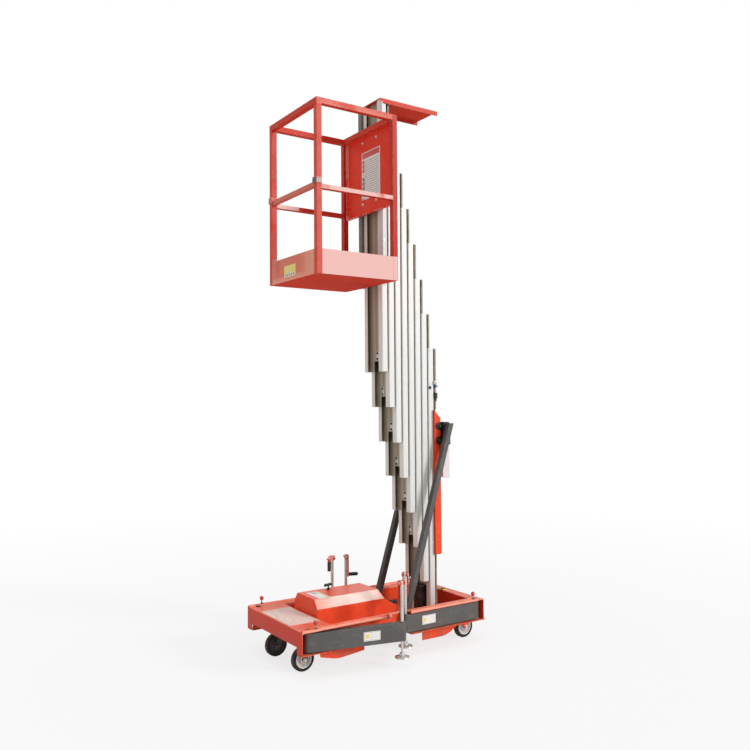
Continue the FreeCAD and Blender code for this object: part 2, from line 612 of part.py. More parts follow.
def mast_cap():
    """Down-flanged channel on top of section 1, over the other sections' heads."""
    top = f"{PAN_TOP} + 7 * section_lift + section_length"
    inner = "mast_half + cap_margin"
    node("mast_cap", prism("mast_cap", "YZ_Plane", [
        (f"-({inner} + cap_sheet)", f"{top} + cap_sheet"),
        (f"{inner} + cap_sheet", f"{top} + cap_sheet"),
        (f"{inner} + cap_sheet", f"{top} - cap_flange"), (inner, f"{top} - cap_flange"), (inner, top),
        (f"-({inner})", top), (f"-({inner})", f"{top} - cap_flange"),
        (f"-({inner} + cap_sheet)", f"{top} - cap_flange"),
    ], "cap_tail", along("mast_front - cap_lead")))


def mast_supports():
    """Spine channel round section 8's back, two braces with their bracket, lift cylinder."""
    spine_front = "mast_front + 7 * section_pitch + spine_seat"
    spine_back = f"{spine_front} + spine_depth"
    inside = "spine_half - sheet"
    spine_top = "spine_bottom + spine_length"
    channel = prism("spine_channel", "XY_Plane", [
        (along(spine_front), "-spine_half"), (along(spine_back), "-spine_half"),
        (along(spine_back), "spine_half"), (along(spine_front), "spine_half"),
        (along(spine_front), "mast_half"), (along(f"{spine_front} + sheet"), "mast_half"),
        (along(f"{spine_front} + sheet"), inside), (along(f"{spine_back} - sheet"), inside),
        (along(f"{spine_back} - sheet"), f"-({inside})"), (along(f"{spine_front} + sheet"), f"-({inside})"),
        (along(f"{spine_front} + sheet"), "-mast_half"), (along(spine_front), "-mast_half"),
    ], "spine_length", "spine_bottom")
    slant = prism("spine_slant", "XZ_Plane", [
        (along(f"{spine_front} - {OVER}"), f"{spine_top} + {OVER}"),
        (along(f"{spine_back} + {OVER}"), f"{spine_top} - spine_slope"),
        (along(f"{spine_back} + {OVER}"), f"{spine_top} + {OVER}"),
    ], f"2 * (spine_half + {OVER})", f"spine_half + {OVER}")
    node("mast_spine", cut("mast_spine", channel, [slant]))

    brace_head = f"{spine_back} + brace_behind"
    braces = []
    for word, sign in SIDES:
        tubes = []
        for tag, skin in (("outer", "0"), ("bore", "brace_wall")):
            tubes.append(prism(f"brace_{tag}_{word}", "XZ_Plane", [
                (along(f"brace_foot + {skin}"), PAN_TOP),
                (along(f"brace_foot + brace_size - {skin}"), PAN_TOP),
                (along(f"{brace_head} + brace_size - {skin}"), "brace_top"),
                (along(f"{brace_head} + {skin}"), "brace_top"),
            ], f"brace_size - 2 * {skin}", f"{sign} * brace_side + brace_size / 2 - {skin}"))
        braces.append(cut(f"brace_tube_{word}", tubes[0], [tubes[1]]))
    node("mast_braces", group("mast_braces", braces))

    reach = "(brace_side - brace_size / 2)"
    top = "brace_top + bracket_over"
    low = f"{top} - bracket_height"
    rear = f"{brace_head} + brace_size"
    block = rounded(prism("bracket_block", "XZ_Plane", [
        (along(spine_back), low), (along(rear), low), (along(rear), top), (along(spine_back), top),
    ], f"2 * {reach}", reach), [2], "bracket_round")
    corner = (along(f"{spine_back} - {OVER}"), f"-{reach} + bracket_wall", f"{low} + bracket_wall")
    hollow = box("bracket_hollow", corner, f"{rear} - ({spine_back}) - bracket_wall + {OVER}",
                 f"2 * ({reach} - bracket_wall)", "bracket_height - 2 * bracket_wall")
    parts = [cut("bracket_shell", block, [hollow])]
    nose = f"{spine_back} - bracket_grip + lug_height / 2"
    for word, sign in SIDES:
        y = f"{sign} * (spine_half + bracket_wall / 2) - bracket_wall / 2"
        for tag, z in (("low", low), ("top", f"{top} - lug_height")):
            parts.append(box(f"lug_{tag}_{word}", (along(nose), y, z),
                             "bracket_grip - lug_height / 2 + bracket_wall", "bracket_wall", "lug_height"))
            parts.append(rod(f"lug_nose_{tag}_{word}", (along(nose), y, f"{z} + lug_height / 2"),
                             "lug_height / 2", "bracket_wall", "y"))
    node("brace_bracket", fuse("brace_bracket", parts))

    start = "mast_front + 6 * section_pitch + web_back + panel_wall + cylinder_gap"
    node("lift_cylinder", box("lift_cylinder", (along(start), "-cylinder_width / 2", PAN_TOP),
                              "section_pitch - panel_wall - cylinder_gap", "cylinder_width",
                              "cylinder_height"))


CAGE_FRONT = along("mast_front - mount_gap - cage_length")
CAGE_HALF = "cage_width / 2"
CAGE_TOP = "(cage_bottom + cage_height)"
CAGE_FLOOR = "(cage_bottom + floor_sheet)"


def tube(name, at, length, width, height):
    """A rectangular tube's outer block, and the block of the room inside it."""
    inner = [f"{text} + post_wall" for text in at]
    room = [f"{text} - 2 * post_wall" for text in (length, width, height)]
    return box(name, at, length, width, height), box(name + "_bore", inner, *room)


def cage_frame():
    """Four posts, a top ring and two side rails of square tube, hollow throughout."""
    tubes = []
    ends = (("front", CAGE_FRONT), ("rear", f"{CAGE_FRONT} + cage_length - post"))
    sides = (("right", f"-{CAGE_HALF}"), ("left", f"{CAGE_HALF} - post"))
    for end, x in ends:
        for side, y in sides:
            tubes.append(tube(f"post_{end}_{side}", (x, y, "cage_bottom"), "post", "post", "cage_height"))
        tubes.append(tube(f"top_{end}", (x, f"-{CAGE_HALF}", f"{CAGE_TOP} - post"), "post", "cage_width",
                          "post"))
    for side, y in sides:
        tubes.append(tube(f"top_{side}", (CAGE_FRONT, y, f"{CAGE_TOP} - post"), "cage_length", "post",
                          "post"))
        tubes.append(tube(f"mid_{side}", (CAGE_FRONT, y, "mid_rail - rail_height"), "cage_length", "post",
                          "rail_height"))
    solid = fuse("cage_frame_solid", [outer for outer, inner in tubes])
    node("cage_frame", cut("cage_frame", solid, [inner for outer, inner in tubes]))


def cage_floor():
    """Floor plate notched round the posts, with toe boards between them."""
    tray = [box("cage_plate", (CAGE_FRONT, f"-{CAGE_HALF}", "cage_bottom"), "cage_length", "cage_width",
                "floor_sheet")]
    clear = "- 2 * post"
    for end, x in (("front", CAGE_FRONT), ("rear", f"{CAGE_FRONT} + cage_length - toe_sheet")):
        tray.append(box(f"toe_{end}", (x, f"-{CAGE_HALF} + post", CAGE_FLOOR), "toe_sheet",
                        f"cage_width {clear}", "toe_height"))
    for side, y in (("right", f"-{CAGE_HALF}"), ("left", f"{CAGE_HALF} - toe_sheet")):
        tray.append(box(f"toe_{side}", (f"{CAGE_FRONT} + post", y, CAGE_FLOOR), f"cage_length {clear}",
                        "toe_sheet", "toe_height"))
    tray.append(box("toe_tab", (CAGE_FRONT, f"{CAGE_HALF} - post - toe_tab", f"{CAGE_FLOOR} + toe_height"),
                    "toe_sheet", "toe_tab", "toe_tab_height"))
    notches = []
    for end, x in (("front", f"{CAGE_FRONT} - {OVER}"), ("rear", f"{CAGE_FRONT} + cage_length - post")):
        for side, y in (("right", f"-{CAGE_HALF} - {OVER}"), ("left", f"{CAGE_HALF} - post")):
            notches.append(box(f"floor_notch_{end}_{side}", (x, y, f"cage_bottom - {OVER}"), f"post + {OVER}",
                               f"post + {OVER}", f"floor_sheet + 2 * {OVER}"))
    node("cage_floor", cut("cage_floor", fuse("cage_tray", tray), notches))


def cage_back():
    """Recessed back panel under the top rail, and the angles that bolt the cage to section 1."""
    rear = f"{CAGE_FRONT} + cage_length"
    tall = f"{CAGE_TOP} - post - back_bottom"
    shell = box("back_block", (f"{rear} - back_flange", "-back_width / 2", "back_bottom"), "back_flange",
                "back_width", tall)
    corner = (f"{rear} - back_flange - {OVER}", "-back_width / 2 + back_sheet", "back_bottom + back_sheet")
    recess = box("back_recess", corner, f"back_flange - back_sheet + {OVER}",
                 "back_width - 2 * back_sheet", f"{tall} - 2 * back_sheet")
    node("cage_back_panel", cut("cage_back_panel", shell, [recess]))
    angle = prism("cage_angle", "XY_Plane", [
        (rear, "-mast_half"), (rear, "-mast_half - angle_width"),
        (f"{rear} + angle_wall", "-mast_half - angle_width"),
        (f"{rear} + angle_wall", "-mast_half - angle_wall"),
        (f"{rear} + angle_depth", "-mast_half - angle_wall"), (f"{rear} + angle_depth", "-mast_half"),
    ], "cage_height", "cage_bottom")
    node("cage_mounts", group("cage_mounts", [angle, mirror("cage_angle_left", angle)]))


def drop_bar():
    """Bar between the cage's front posts, with a collar at each end that slides on the post."""
    face = f"{CAGE_FRONT} - collar_wall - collar_play"
    low = "mid_rail + collar_rise"
    wide = "post + 2 * (collar_wall + collar_play)"
    reach = f"({CAGE_HALF} - post - collar_play - collar_wall)"
    parts = [box("drop_tube", (f"{CAGE_FRONT} + bar_inset", f"-{reach}", "mid_rail - bar_drop"), "bar_size",
                 f"2 * {reach}", "bar_size")]
    holes = []
    for word, sign in SIDES:
        y = f"{sign} * ({CAGE_HALF} - post / 2) - ({wide}) / 2"
        parts.append(box(f"collar_{word}", (face, y, low), "post", wide, "collar_height"))
        spot = (f"{CAGE_FRONT} - collar_play", f"{y} + collar_wall", f"{low} - {OVER}")
        holes.append(box(f"collar_hole_{word}", spot, "post", "post + 2 * collar_play",
                         f"collar_height + 2 * {OVER}"))
    solid = cut("drop_collars", fuse("drop_collars_solid", parts[1:]), holes)
    node("drop_bar", fuse("drop_bar", [parts[0], solid]))


side_channels()
chassis()
chassis_fittings()
power_pack()
outriggers()
running_gear()
mast()
mast_cap()
mast_supports()
cage_frame()
cage_floor()
cage_back()
drop_bar()
doc.recompute()

faults = [o.Name for o in doc.Objects if {"Invalid", "Error"} & set(o.State)]
faults += [o.Label for o in NODES if o.Shape.isNull() or not o.Shape.isValid() or not o.Shape.Solids]
if faults:
    raise RuntimeError("not built: " + ", ".join(faults))
os.makedirs("parts", exist_ok=True)
for obj in NODES:
    obj.Shape.exportStep(f"parts/{obj.Label}.step")
    print(obj.Label, len(obj.Shape.Solids), round(obj.Shape.Volume / 1e6, 3), "litres")
print(len(NODES), "nodes")
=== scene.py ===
import math

import bmesh
import bpy
from mathutils import Matrix, Vector


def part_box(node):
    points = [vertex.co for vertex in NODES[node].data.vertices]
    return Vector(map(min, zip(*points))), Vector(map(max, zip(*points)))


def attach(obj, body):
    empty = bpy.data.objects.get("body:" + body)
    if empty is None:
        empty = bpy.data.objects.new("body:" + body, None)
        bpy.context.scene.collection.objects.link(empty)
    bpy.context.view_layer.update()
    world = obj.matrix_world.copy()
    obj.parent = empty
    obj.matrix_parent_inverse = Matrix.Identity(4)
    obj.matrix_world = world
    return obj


# Push-around mast lift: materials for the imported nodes, fittings, studio and camera.
# Materials and profiles are in metres, places on the machine in millimetres.
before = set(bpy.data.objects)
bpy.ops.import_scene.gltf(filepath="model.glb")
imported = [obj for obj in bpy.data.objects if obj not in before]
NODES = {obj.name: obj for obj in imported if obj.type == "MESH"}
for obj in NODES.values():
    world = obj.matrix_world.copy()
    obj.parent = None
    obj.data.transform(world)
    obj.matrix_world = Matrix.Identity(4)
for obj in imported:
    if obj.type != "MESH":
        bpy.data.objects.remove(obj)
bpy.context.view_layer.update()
SCENE = bpy.context.scene
X, Y, Z = Vector((1, 0, 0)), Vector((0, 1, 0)), Vector((0, 0, 1))
# How far the front plate is ahead of the frame's origin, in metres.
FRONT = 0.710

# The mast in millimetres: section 1 carries the cage, section 8 stands on the chassis.
FACE_1 = 770
PITCH = 56
FOOT_8 = 160
LIFT = 243
LENGTH = 1870


def face_of(number):
    """How far a section's front face is behind the front plate, in millimetres."""
    return FACE_1 + (number - 1) * PITCH


def foot_of(number):
    """Height of a section's foot, in millimetres."""
    return FOOT_8 + (8 - number) * LIFT


def at(u, y, z):
    """A point from millimetres: u from the front plate, y to the left, z up."""
    return Vector((u / 1000 - FRONT, y / 1000, z / 1000))


def fill(tree, socket, content):
    """Links a socket's content, or sets it where it is a plain value."""
    if isinstance(content, bpy.types.NodeSocket):
        tree.links.new(content, socket)
    else:
        socket.default_value = content


def wired(tree, kind, *contents, **fields):
    """Adds a node, sets its fields, and sets or links its first inputs in order."""
    made = tree.nodes.new(kind)
    for word, content in fields.items():
        setattr(made, word, content)
    for socket, content in zip(made.inputs, contents):
        fill(tree, socket, content)
    return made


class Look:
    """A Principled material with short calls for its pattern nodes. Patterns use object coordinates."""

    def __init__(self, name, colour, roughness, metallic=0.0, **more):
        self.mat = bpy.data.materials.new(name)
        self.mat.use_nodes = True
        self.tree = self.mat.node_tree
        self.shader = self.tree.nodes["Principled BSDF"]
        self.base = (*colour, 1)
        self.rough = roughness
        self.height = None
        self.feed(self.shader, Base_Color=self.base, Roughness=roughness, Metallic=metallic, **more)
        self.place = self.new("ShaderNodeTexCoord").outputs["Object"]
        self.normal = self.new("ShaderNodeNewGeometry").outputs["Normal"]

    def new(self, kind, *contents, **fields):
        return wired(self.tree, kind, *contents, **fields)

    def feed(self, node, **contents):
        """Sets or links a node's inputs by name and gives its first output."""
        for word, content in contents.items():
            fill(self.tree, node.inputs[word.replace("_", " ")], content)
        return node.outputs[0]

    def math(self, kind, *numbers):
        return self.new("ShaderNodeMath", *numbers, operation=kind).outputs[0]

    def axis(self, letter, source=None):
        return self.new("ShaderNodeSeparateXYZ", source or self.place).outputs["xyz".index(letter)]

    def noise(self, scale, detail=3.0, stretch=(1, 1, 1), shift=(0, 0, 0), rough=0.55):
        place = self.feed(self.new("ShaderNodeMapping"), Vector=self.place, Scale=stretch, Location=shift)
        made = self.new("ShaderNodeTexNoise")
        return self.feed(made, Vector=place, Scale=scale, Detail=detail, Roughness=rough)

    def step(self, content, low, high):
        """0 below low, 1 above high, smooth between them. low above high turns it round."""
        made = self.new("ShaderNodeMapRange", interpolation_type="SMOOTHSTEP")
        ends = {"From_Min": min(low, high), "From_Max": max(low, high)}
        return self.feed(made, Value=content, **ends, To_Min=float(low > high), To_Max=float(low <= high))

    def along(self, letter, low, high):
        """0 below low and 1 above high along an axis."""
        return self.step(self.axis(letter), low, high)

    def patches(self, scale, detail, low, high, *place, **more):
        """Patches of noise: 0 below low, 1 above high."""
        return self.step(self.noise(scale, detail, *place, **more), low, high)

    def radius(self, centre):
        """Distance from a wheel's axle, in metres."""
        dx = self.math("SUBTRACT", self.axis("x"), centre.x)
        dz = self.math("SUBTRACT", self.axis("z"), centre.z)
        return self.math("SQRT", self.math("ADD", self.times(dx, dx), self.times(dz, dz)))

    def band(self, content, low, high, soft=0.001):
        return self.times(self.step(content, low - soft, low), self.step(content, high + soft, high))

    def chain(self, kind, factors):
        total = factors[0]
        for factor in factors[1:]:
            total = self.math(kind, total, factor)
        return total

    def times(self, *factors):
        return self.chain("MULTIPLY", factors)

    def most(self, *factors):
        return self.chain("MAXIMUM", factors)

    def tint(self, factor, colour):
        """Lays a colour over the base colour so far."""
        made = self.new("ShaderNodeMix", factor, data_type="RGBA")
        fill(self.tree, made.inputs[6], self.base)
        fill(self.tree, made.inputs[7], (*colour, 1) if isinstance(colour, tuple) else colour)
        self.base = made.outputs[2]
        self.feed(self.shader, Base_Color=self.base)

    def wash(self, factor, share, colour):
        """Lays a share of a colour where the factor is 1."""
        self.tint(self.times(factor, share), colour)

    def roughen(self, factor, target):
        made = self.new("ShaderNodeMix", factor, data_type="FLOAT")
        fill(self.tree, made.inputs[2], self.rough)
        fill(self.tree, made.inputs[3], target)
        self.rough = made.outputs[0]
        self.feed(self.shader, Roughness=self.rough)

    def raise_by(self, factor, metres):
        """Adds a height in metres times the factor to the bump."""
        part = self.times(factor, metres)
        self.height = part if self.height is None else self.math("ADD", self.height, part)

    def done(self):
        """The material, with the heights gathered so far as its bump."""
        bump = self.feed(self.new("ShaderNodeBump"), Strength=1.0, Distance=1.0, Height=self.height)
        self.feed(self.shader, Normal=bump)
        return self.mat

    def edges(self, radius):
        """1 near sharp edges, worn unevenly."""
        bevel = self.feed(self.new("ShaderNodeBevel", samples=4), Radius=radius)
        dot = self.new("ShaderNodeVectorMath", bevel, self.normal, operation="DOT_PRODUCT")
        return self.times(self.step(dot.outputs["Value"], 0.995, 0.90), self.patches(26, 5, 0.47, 0.63))

    def facing(self, letter, sign):
        return self.step(self.times(self.axis(letter, self.normal), sign), 0.35, 0.75)


BARE_EDGE = (0.62, 0.47, 0.41)
GRIME = (0.16, 0.075, 0.045)
SPLASHES = (0.21, 0.13, 0.095)
LIP_HIGHLIGHT = (0.95, 0.56, 0.42)


def paint(name, colour, pale, deep, low_dirt=0.0, gloss=0.2, dust_and_painted_light=0.0):
    """Sprayed enamel: uneven tone, orange peel, hair scratches, chipped edges, dust low down; where asked,
    dust with a painted highlight on top, painted shade on faces to the front and a painted highlight along
    the near side's lip.
    """
    look = Look(name, colour, 0.34, 0.0, Specular_IOR_Level=gloss)
    look.wash(look.patches(3.1, 4, 0.42, 0.75), 0.22, deep)
    look.wash(look.patches(38, 5, 0.5, 0.72), 0.10, pale)
    rub = look.times(look.patches(7, 6, 0.56, 0.74, rough=0.7), look.patches(90, 3, 0.4, 0.6))
    look.wash(rub, 0.28, pale)
    hair = look.most(
        look.patches(60, 2, 0.70, 0.73, (0.06, 1.0, 1.0)),
        look.patches(70, 2, 0.715, 0.74, (1.0, 1.0, 0.05), (3, 1, 2)),
    )
    hair = look.times(hair, look.patches(5, 3, 0.45, 0.62))
    look.wash(hair, 0.55, pale)
    worn = look.edges(0.0028)
    look.wash(worn, 0.8, BARE_EDGE)
    grime = look.times(look.patches(11, 7, 0.57, 0.75, rough=0.72, shift=(5, 2, 1)), 0.30)
    look.tint(grime, GRIME)
    if dust_and_painted_light:
        # Dust with a painted highlight on top, painted shade in the deeper colour on faces to the front, a
        # painted highlight along the near side's lip.
        film = look.times(look.facing("z", 1), look.patches(6, 6, 0.28, 0.62, rough=0.65))
        look.wash(film, dust_and_painted_light, pale)
        look.wash(look.facing("x", -1), 0.92, deep)
        lip = look.times(look.facing("y", -1), look.band(look.axis("z"), 0.283, 0.300, 0.002), 0.5)
        look.tint(lip, LIP_HIGHLIGHT)
    look.roughen(look.facing("z", -1), 0.9)
    if low_dirt:
        low = look.times(look.along("z", 0.30, 0.06), look.patches(18, 6, 0.38, 0.66))
        look.wash(low, low_dirt, SPLASHES)
    look.roughen(look.most(rub, grime), 0.58)
    look.raise_by(look.noise(420, 1), 0.00012)
    look.raise_by(hair, -0.00008)
    look.raise_by(worn, -0.00010)
    return look


ORANGE = ((0.86, 0.082, 0.026), (0.92, 0.36, 0.24), (0.64, 0.042, 0.015))
RED = ((0.62, 0.046, 0.023), (0.80, 0.30, 0.23), (0.47, 0.028, 0.014))
ARM_GREY = ((0.084, 0.079, 0.075), (0.135, 0.128, 0.122))
PANEL_RED = ((0.84, 0.056, 0.026), (0.88, 0.30, 0.22), (0.66, 0.038, 0.018))
# Pale pink film colour; on the cage's near faces it is laid as a painted sheen.
FILM = (0.82, 0.52, 0.475)

# Places on the cage, in metres: its front and rear posts, mid rails, toe boards' top, ring on top.
CAGE_FRONT = -0.530
CAGE_REAR = 0.008
MID_RAIL = (2.979, 3.0085)
TOE_TOP = 2.604
RING = 3.495


def board_paint():
    """Toe boards and floor of the cage: the red enamel with the pale film colour as painted sheen on faces to
    the near side, painted light on faces to the front, and a film rubbed by boots on top.
    """
    look = paint("cage_board_paint", *RED, gloss=0.06)
    film = look.noise(6, 6, (1, 1, 0.5), rough=0.65)
    # Painted sheen: near faces washed with the pale film colour.
    near = look.times(look.facing("y", -1), look.step(film, 0.20, 0.42), 0.9)
    look.tint(near, FILM)
    # Painted light: faces to the front lightened, fully low down and towards the near side, partly elsewhere.
    low = look.along("z", TOE_TOP - 0.074, TOE_TOP - 0.146)
    front = look.times(look.facing("x", -1), look.most(low, look.along("y", 0.05, -0.25)))
    front = look.most(front, look.times(look.facing("x", -1), 0.55))
    look.tint(look.times(front, look.step(film, 0.12, 0.45), 0.74), (0.95, 0.46, 0.32))
    look.tint(look.times(look.facing("z", 1), look.step(film, 0.35, 0.6), 0.6), (0.62, 0.34, 0.28))
    return look.done()


def tube_paint():
    """Posts and rails of the cage, with pale film where hands hold the rails, laid as a painted sheen on
    their near faces, and painted sheen on the top ring's near faces and the rear posts' feet.
    """
    look = paint("cage_tube_paint", *RED, gloss=0.07)
    film = look.noise(9, 6, (0.6, 1, 1), rough=0.65)
    height = look.band(look.axis("z"), *MID_RAIL, 0.002)
    this_side = look.along("y", 0.28, 0.27)
    # Painted sheen with the pale film on the mid rails' near faces, and less on their front faces.
    grabbed_and_lit = look.most(look.facing("y", -1), look.times(look.facing("x", -1), 0.7))
    rail = look.times(height, this_side, grabbed_and_lit)
    between = look.band(look.axis("x"), CAGE_FRONT, CAGE_REAR, 0.002)
    look.tint(look.times(rail, between, look.step(film, 0.30, 0.5), 0.9), FILM)
    # Painted sheen on the front part of the far mid rail's near face.
    far = look.times(height, look.facing("y", -1), look.along("y", 0.27, 0.28), look.along("x", -0.35, -0.37),
                     look.along("x", CAGE_FRONT, CAGE_FRONT + 0.002), 0.95)
    look.tint(far, (0.93, 0.66, 0.60))
    # Painted sheen in a lighter red on the top ring's near faces.
    top = look.times(look.along("z", RING + 0.005, RING + 0.017), this_side, look.facing("y", -1),
                     look.step(film, 0.34, 0.6), 0.45)
    look.tint(top, (0.84, 0.36, 0.28))
    # Painted sheen carried down the rear posts' near faces below the toe boards' top.
    foot = look.times(look.along("z", TOE_TOP + 0.002, TOE_TOP),
                      look.band(look.axis("x"), CAGE_REAR, CAGE_REAR + 0.033), look.facing("y", -1), 0.9)
    look.tint(foot, FILM)
    front = look.times(look.along("x", -0.35, -0.40), look.along("z", RING + 0.002, RING),
                       look.step(film, 0.28, 0.5), 0.10)
    look.tint(front, (0.84, 0.48, 0.39))
    rear = look.times(look.along("x", CAGE_REAR - 0.0015, CAGE_REAR + 0.0005), look.facing("y", -1),
                      look.along("z", TOE_TOP + 0.006, TOE_TOP + 0.008))
    look.wash(rear, 0.7, (0.42, 0.022, 0.011))
    return look.done()


def panel_paint():
    """Back panel of the cage: a brighter red, with pale dust on its flanges."""
    look = paint("cage_panel_paint", *PANEL_RED, gloss=0.07)
    flange = look.most(look.along("y", 0.272, 0.277), look.along("z", 2.966, 2.960))
    look.tint(look.times(flange, look.patches(14, 5, 0.35, 0.55), 0.75), (0.88, 0.50, 0.44))
    return look.done()


def cover_paint():
    """Power pack housing: the orange enamel with dust on its roof and chamfer, and a painted highlight on the
    near chamfer.
    """
    look = paint("cover_paint", *ORANGE, gloss=0.24)
    film = look.noise(5, 6, rough=0.6)
    slope = look.times(look.step(look.axis("z", look.normal), 0.30, 0.55), look.step(film, 0.25, 0.62))
    look.wash(slope, 0.22, (0.86, 0.36, 0.24))
    # Painted highlight: the near chamfer washed pale; other sloped faces take dust in the same colour.
    chamfer_highlight = look.times(look.band(look.axis("z", look.normal), 0.45, 0.85, 0.05), look.facing("y", -1))
    leaning = look.times(look.band(look.axis("z", look.normal), 0.45, 0.75, 0.05), look.step(film, 0.3, 0.5))
    look.wash(look.most(chamfer_highlight, leaning), 0.58, (0.94, 0.60, 0.50))
    # Painted glare, stronger, over the middle of the near chamfer.
    glare = look.times(chamfer_highlight, look.along("x", -0.47, -0.28), look.along("x", 0.10, -0.08), 0.88)
    look.tint(glare, (0.95, 0.80, 0.71))
    return look.done()


def dark_paint(name, colour, pale, scrape=0.5):
    """Semi-gloss powder coat, finely pebbled, rubbed through to a lighter grey on its edges."""
    look = Look(name, colour, 0.46, 0.0, Specular_IOR_Level=0.35)
    look.wash(look.patches(4, 4, 0.4, 0.7), 0.25, pale)
    look.wash(look.patches(55, 5, 0.52, 0.7), 0.16, pale)
    hair = look.times(look.patches(55, 2, 0.69, 0.73, (0.08, 1, 1)), look.patches(4, 2, 0.45, 0.6))
    look.wash(hair, scrape, (0.36, 0.34, 0.32))
    worn = look.edges(0.0025)
    look.wash(worn, 0.7, (0.34, 0.32, 0.30))
    dust = look.times(look.patches(13, 6, 0.5, 0.72, rough=0.7), 0.28)
    look.tint(dust, (0.26, 0.21, 0.17))
    look.roughen(dust, 0.7)
    look.raise_by(look.noise(520, 2), 0.00014)
    look.raise_by(worn, -0.00008)
    return look


def painted_light_by_side(name, colour, pale, low, high, share, tone):
    """The dark paint, with another tone painted on one side of the machine's middle: painted light where that
    side is lit, painted shade where it is in shade.
    """
    look = dark_paint(name, colour, pale)
    look.wash(look.along("y", low, high), share, tone)
    return look.done()


def extrusion(number):
    """Anodised section: bright drawn flanks, creamy lips, a brown channel of grease with a painted
    reflection, and painted shade on the rear strip.
    """
    look = Look(f"aluminium_{number}", (0.70, 0.70, 0.678), 0.48, 0.12, Specular_IOR_Level=0.15)
    depth = look.math("SUBTRACT", look.axis("x"), face_of(number) / 1000 - FRONT)
    hidden = (foot_of(number) + LENGTH - LIFT) / 1000 if number < 8 else 0.0
    bare = look.along("z", hidden - 0.001, hidden + 0.001)
    side = look.math("ABSOLUTE", look.axis("y"))
    lines = look.noise(260, 3, (1, 1, 0.004))
    look.wash(look.step(lines, 0.45, 0.75), 0.18, (0.66, 0.64, 0.61))
    cloud = look.noise(4, 4, (1, 1, 0.25))
    look.wash(look.step(cloud, 0.45, 0.7), 0.20, (0.80, 0.78, 0.75))
    lip = look.times(look.step(depth, 0.0045, 0.0035), look.step(side, 0.1085, 0.107))
    look.wash(lip, 0.75, (0.84, 0.80, 0.71))
    # Brown bands across the channel's web: grease, with a painted reflection of darker surroundings in them.
    tones = look.new("ShaderNodeValToRGB")
    for place, colour in (
            (0.10, (0.56, 0.48, 0.37)), (0.27, (0.54, 0.46, 0.36)), (0.42, (0.30, 0.25, 0.19)),
            (0.54, (0.42, 0.36, 0.27)), (0.70, (0.26, 0.21, 0.145)), (0.84, (0.24, 0.20, 0.135))):
        stop = tones.color_ramp.elements.new(place)
        stop.color = (*colour, 1)
    tones.color_ramp.elements[0].color = (0.36, 0.31, 0.25, 1)
    tones.color_ramp.elements[-1].color = (0.20, 0.165, 0.11, 1)
    streak = look.math("MULTIPLY_ADD", look.noise(22, 4, (1, 1, 0.06)), 0.16, -0.08)
    across = look.math("ADD", look.math("MULTIPLY_ADD", look.axis("y"), 4.76, 0.5), streak)
    fill(look.tree, tones.inputs[0], across)
    recess = look.times(look.step(depth, 0.0045, 0.0055), look.step(depth, 0.0262, 0.0258),
                        look.step(side, 0.1062, 0.1056))
    look.tint(recess, tones.outputs[0])
    # Painted shade: the rear strip near black where it runs inside the next section.
    rear = look.step(depth, 0.0442, 0.0446)
    look.wash(rear, 0.95, (0.035, 0.031, 0.028))
    # Above where the next section hides it, the rear strip takes a brown painted shade with darker patches.
    head = look.times(bare, rear)
    look.wash(head, 0.95, (0.36, 0.315, 0.245))
    patchy = look.times(head, look.patches(13, 5, 0.50, 0.66, (1, 1, 0.5)))
    look.wash(patchy, 0.75, (0.12, 0.09, 0.06))
    worn = look.edges(0.0015)
    look.wash(worn, 0.5, (0.84, 0.83, 0.81))
    smear = look.times(look.patches(16, 6, 0.57, 0.75, (1, 1, 0.3), rough=0.7), 0.35)
    look.tint(smear, (0.50, 0.46, 0.41))
    look.roughen(look.step(lines, 0.3, 0.8), 0.44)
    look.roughen(smear, 0.6)
    look.raise_by(lines, 0.00003)
    return look.done()


def guide_strip():
    """Greased bronze-coloured liner of the guides, stained dark and rusty in patches."""
    look = Look("guide_liner", (0.29, 0.25, 0.185), 0.5, 0.1)
    look.wash(look.patches(9, 5, 0.42, 0.62, (1, 1, 0.45)), 0.7, (0.36, 0.29, 0.25))
    look.wash(look.patches(12, 6, 0.52, 0.66, (1, 1, 0.4), (4, 1, 2), 0.7), 0.85,
              (0.075, 0.055, 0.028))
    look.wash(look.patches(15, 5, 0.60, 0.70, (1, 1, 0.5), (1, 7, 3)), 0.7, (0.42, 0.17, 0.06))
    look.roughen(look.patches(20, 4, 0.4, 0.7), 0.75)
    look.raise_by(look.noise(200, 3, (1, 1, 0.2)), 0.0001)
    return look.done()


def metal(name, colour, roughness, smudge, grain=0.0):
    """Bright metal with streaks and finger marks."""
    look = Look(name, colour, roughness, 0.5)
    streak = look.noise(34, 4, (1, 1, 0.10))
    look.wash(look.step(streak, 0.42, 0.68), 0.55, smudge)
    look.wash(look.patches(140, 5, 0.6, 0.72), 0.6, tuple(c * 0.55 for c in smudge))
    look.roughen(look.patches(12, 5, 0.45, 0.7), min(1.0, roughness + 0.22))
    look.raise_by(look.noise(300, 2), 0.00002 + grain)
    return look.done()


def rubber(name, centre):
    """Moulded tyre: rings on the sidewall, dust on the tread, centre in metres."""
    look = Look(name, (0.022, 0.021, 0.020), 0.72, 0.0, Specular_IOR_Level=0.2)
    radius = look.radius(centre)
    dust = look.times(look.step(radius, 0.068, 0.0745), look.patches(40, 6, 0.35, 0.62, rough=0.7))
    look.wash(dust, 0.55, (0.17, 0.15, 0.13))
    look.wash(look.patches(60, 5, 0.5, 0.7), 0.35, (0.075, 0.070, 0.065))
    rings = look.math("SINE", look.times(radius, 2100))
    look.raise_by(look.times(look.step(rings, 0.3, 0.9), look.band(radius, 0.056, 0.066, 0.001)), 0.0005)
    look.raise_by(look.noise(500, 3), 0.00015)
    look.roughen(dust, 0.92)
    return look.done()


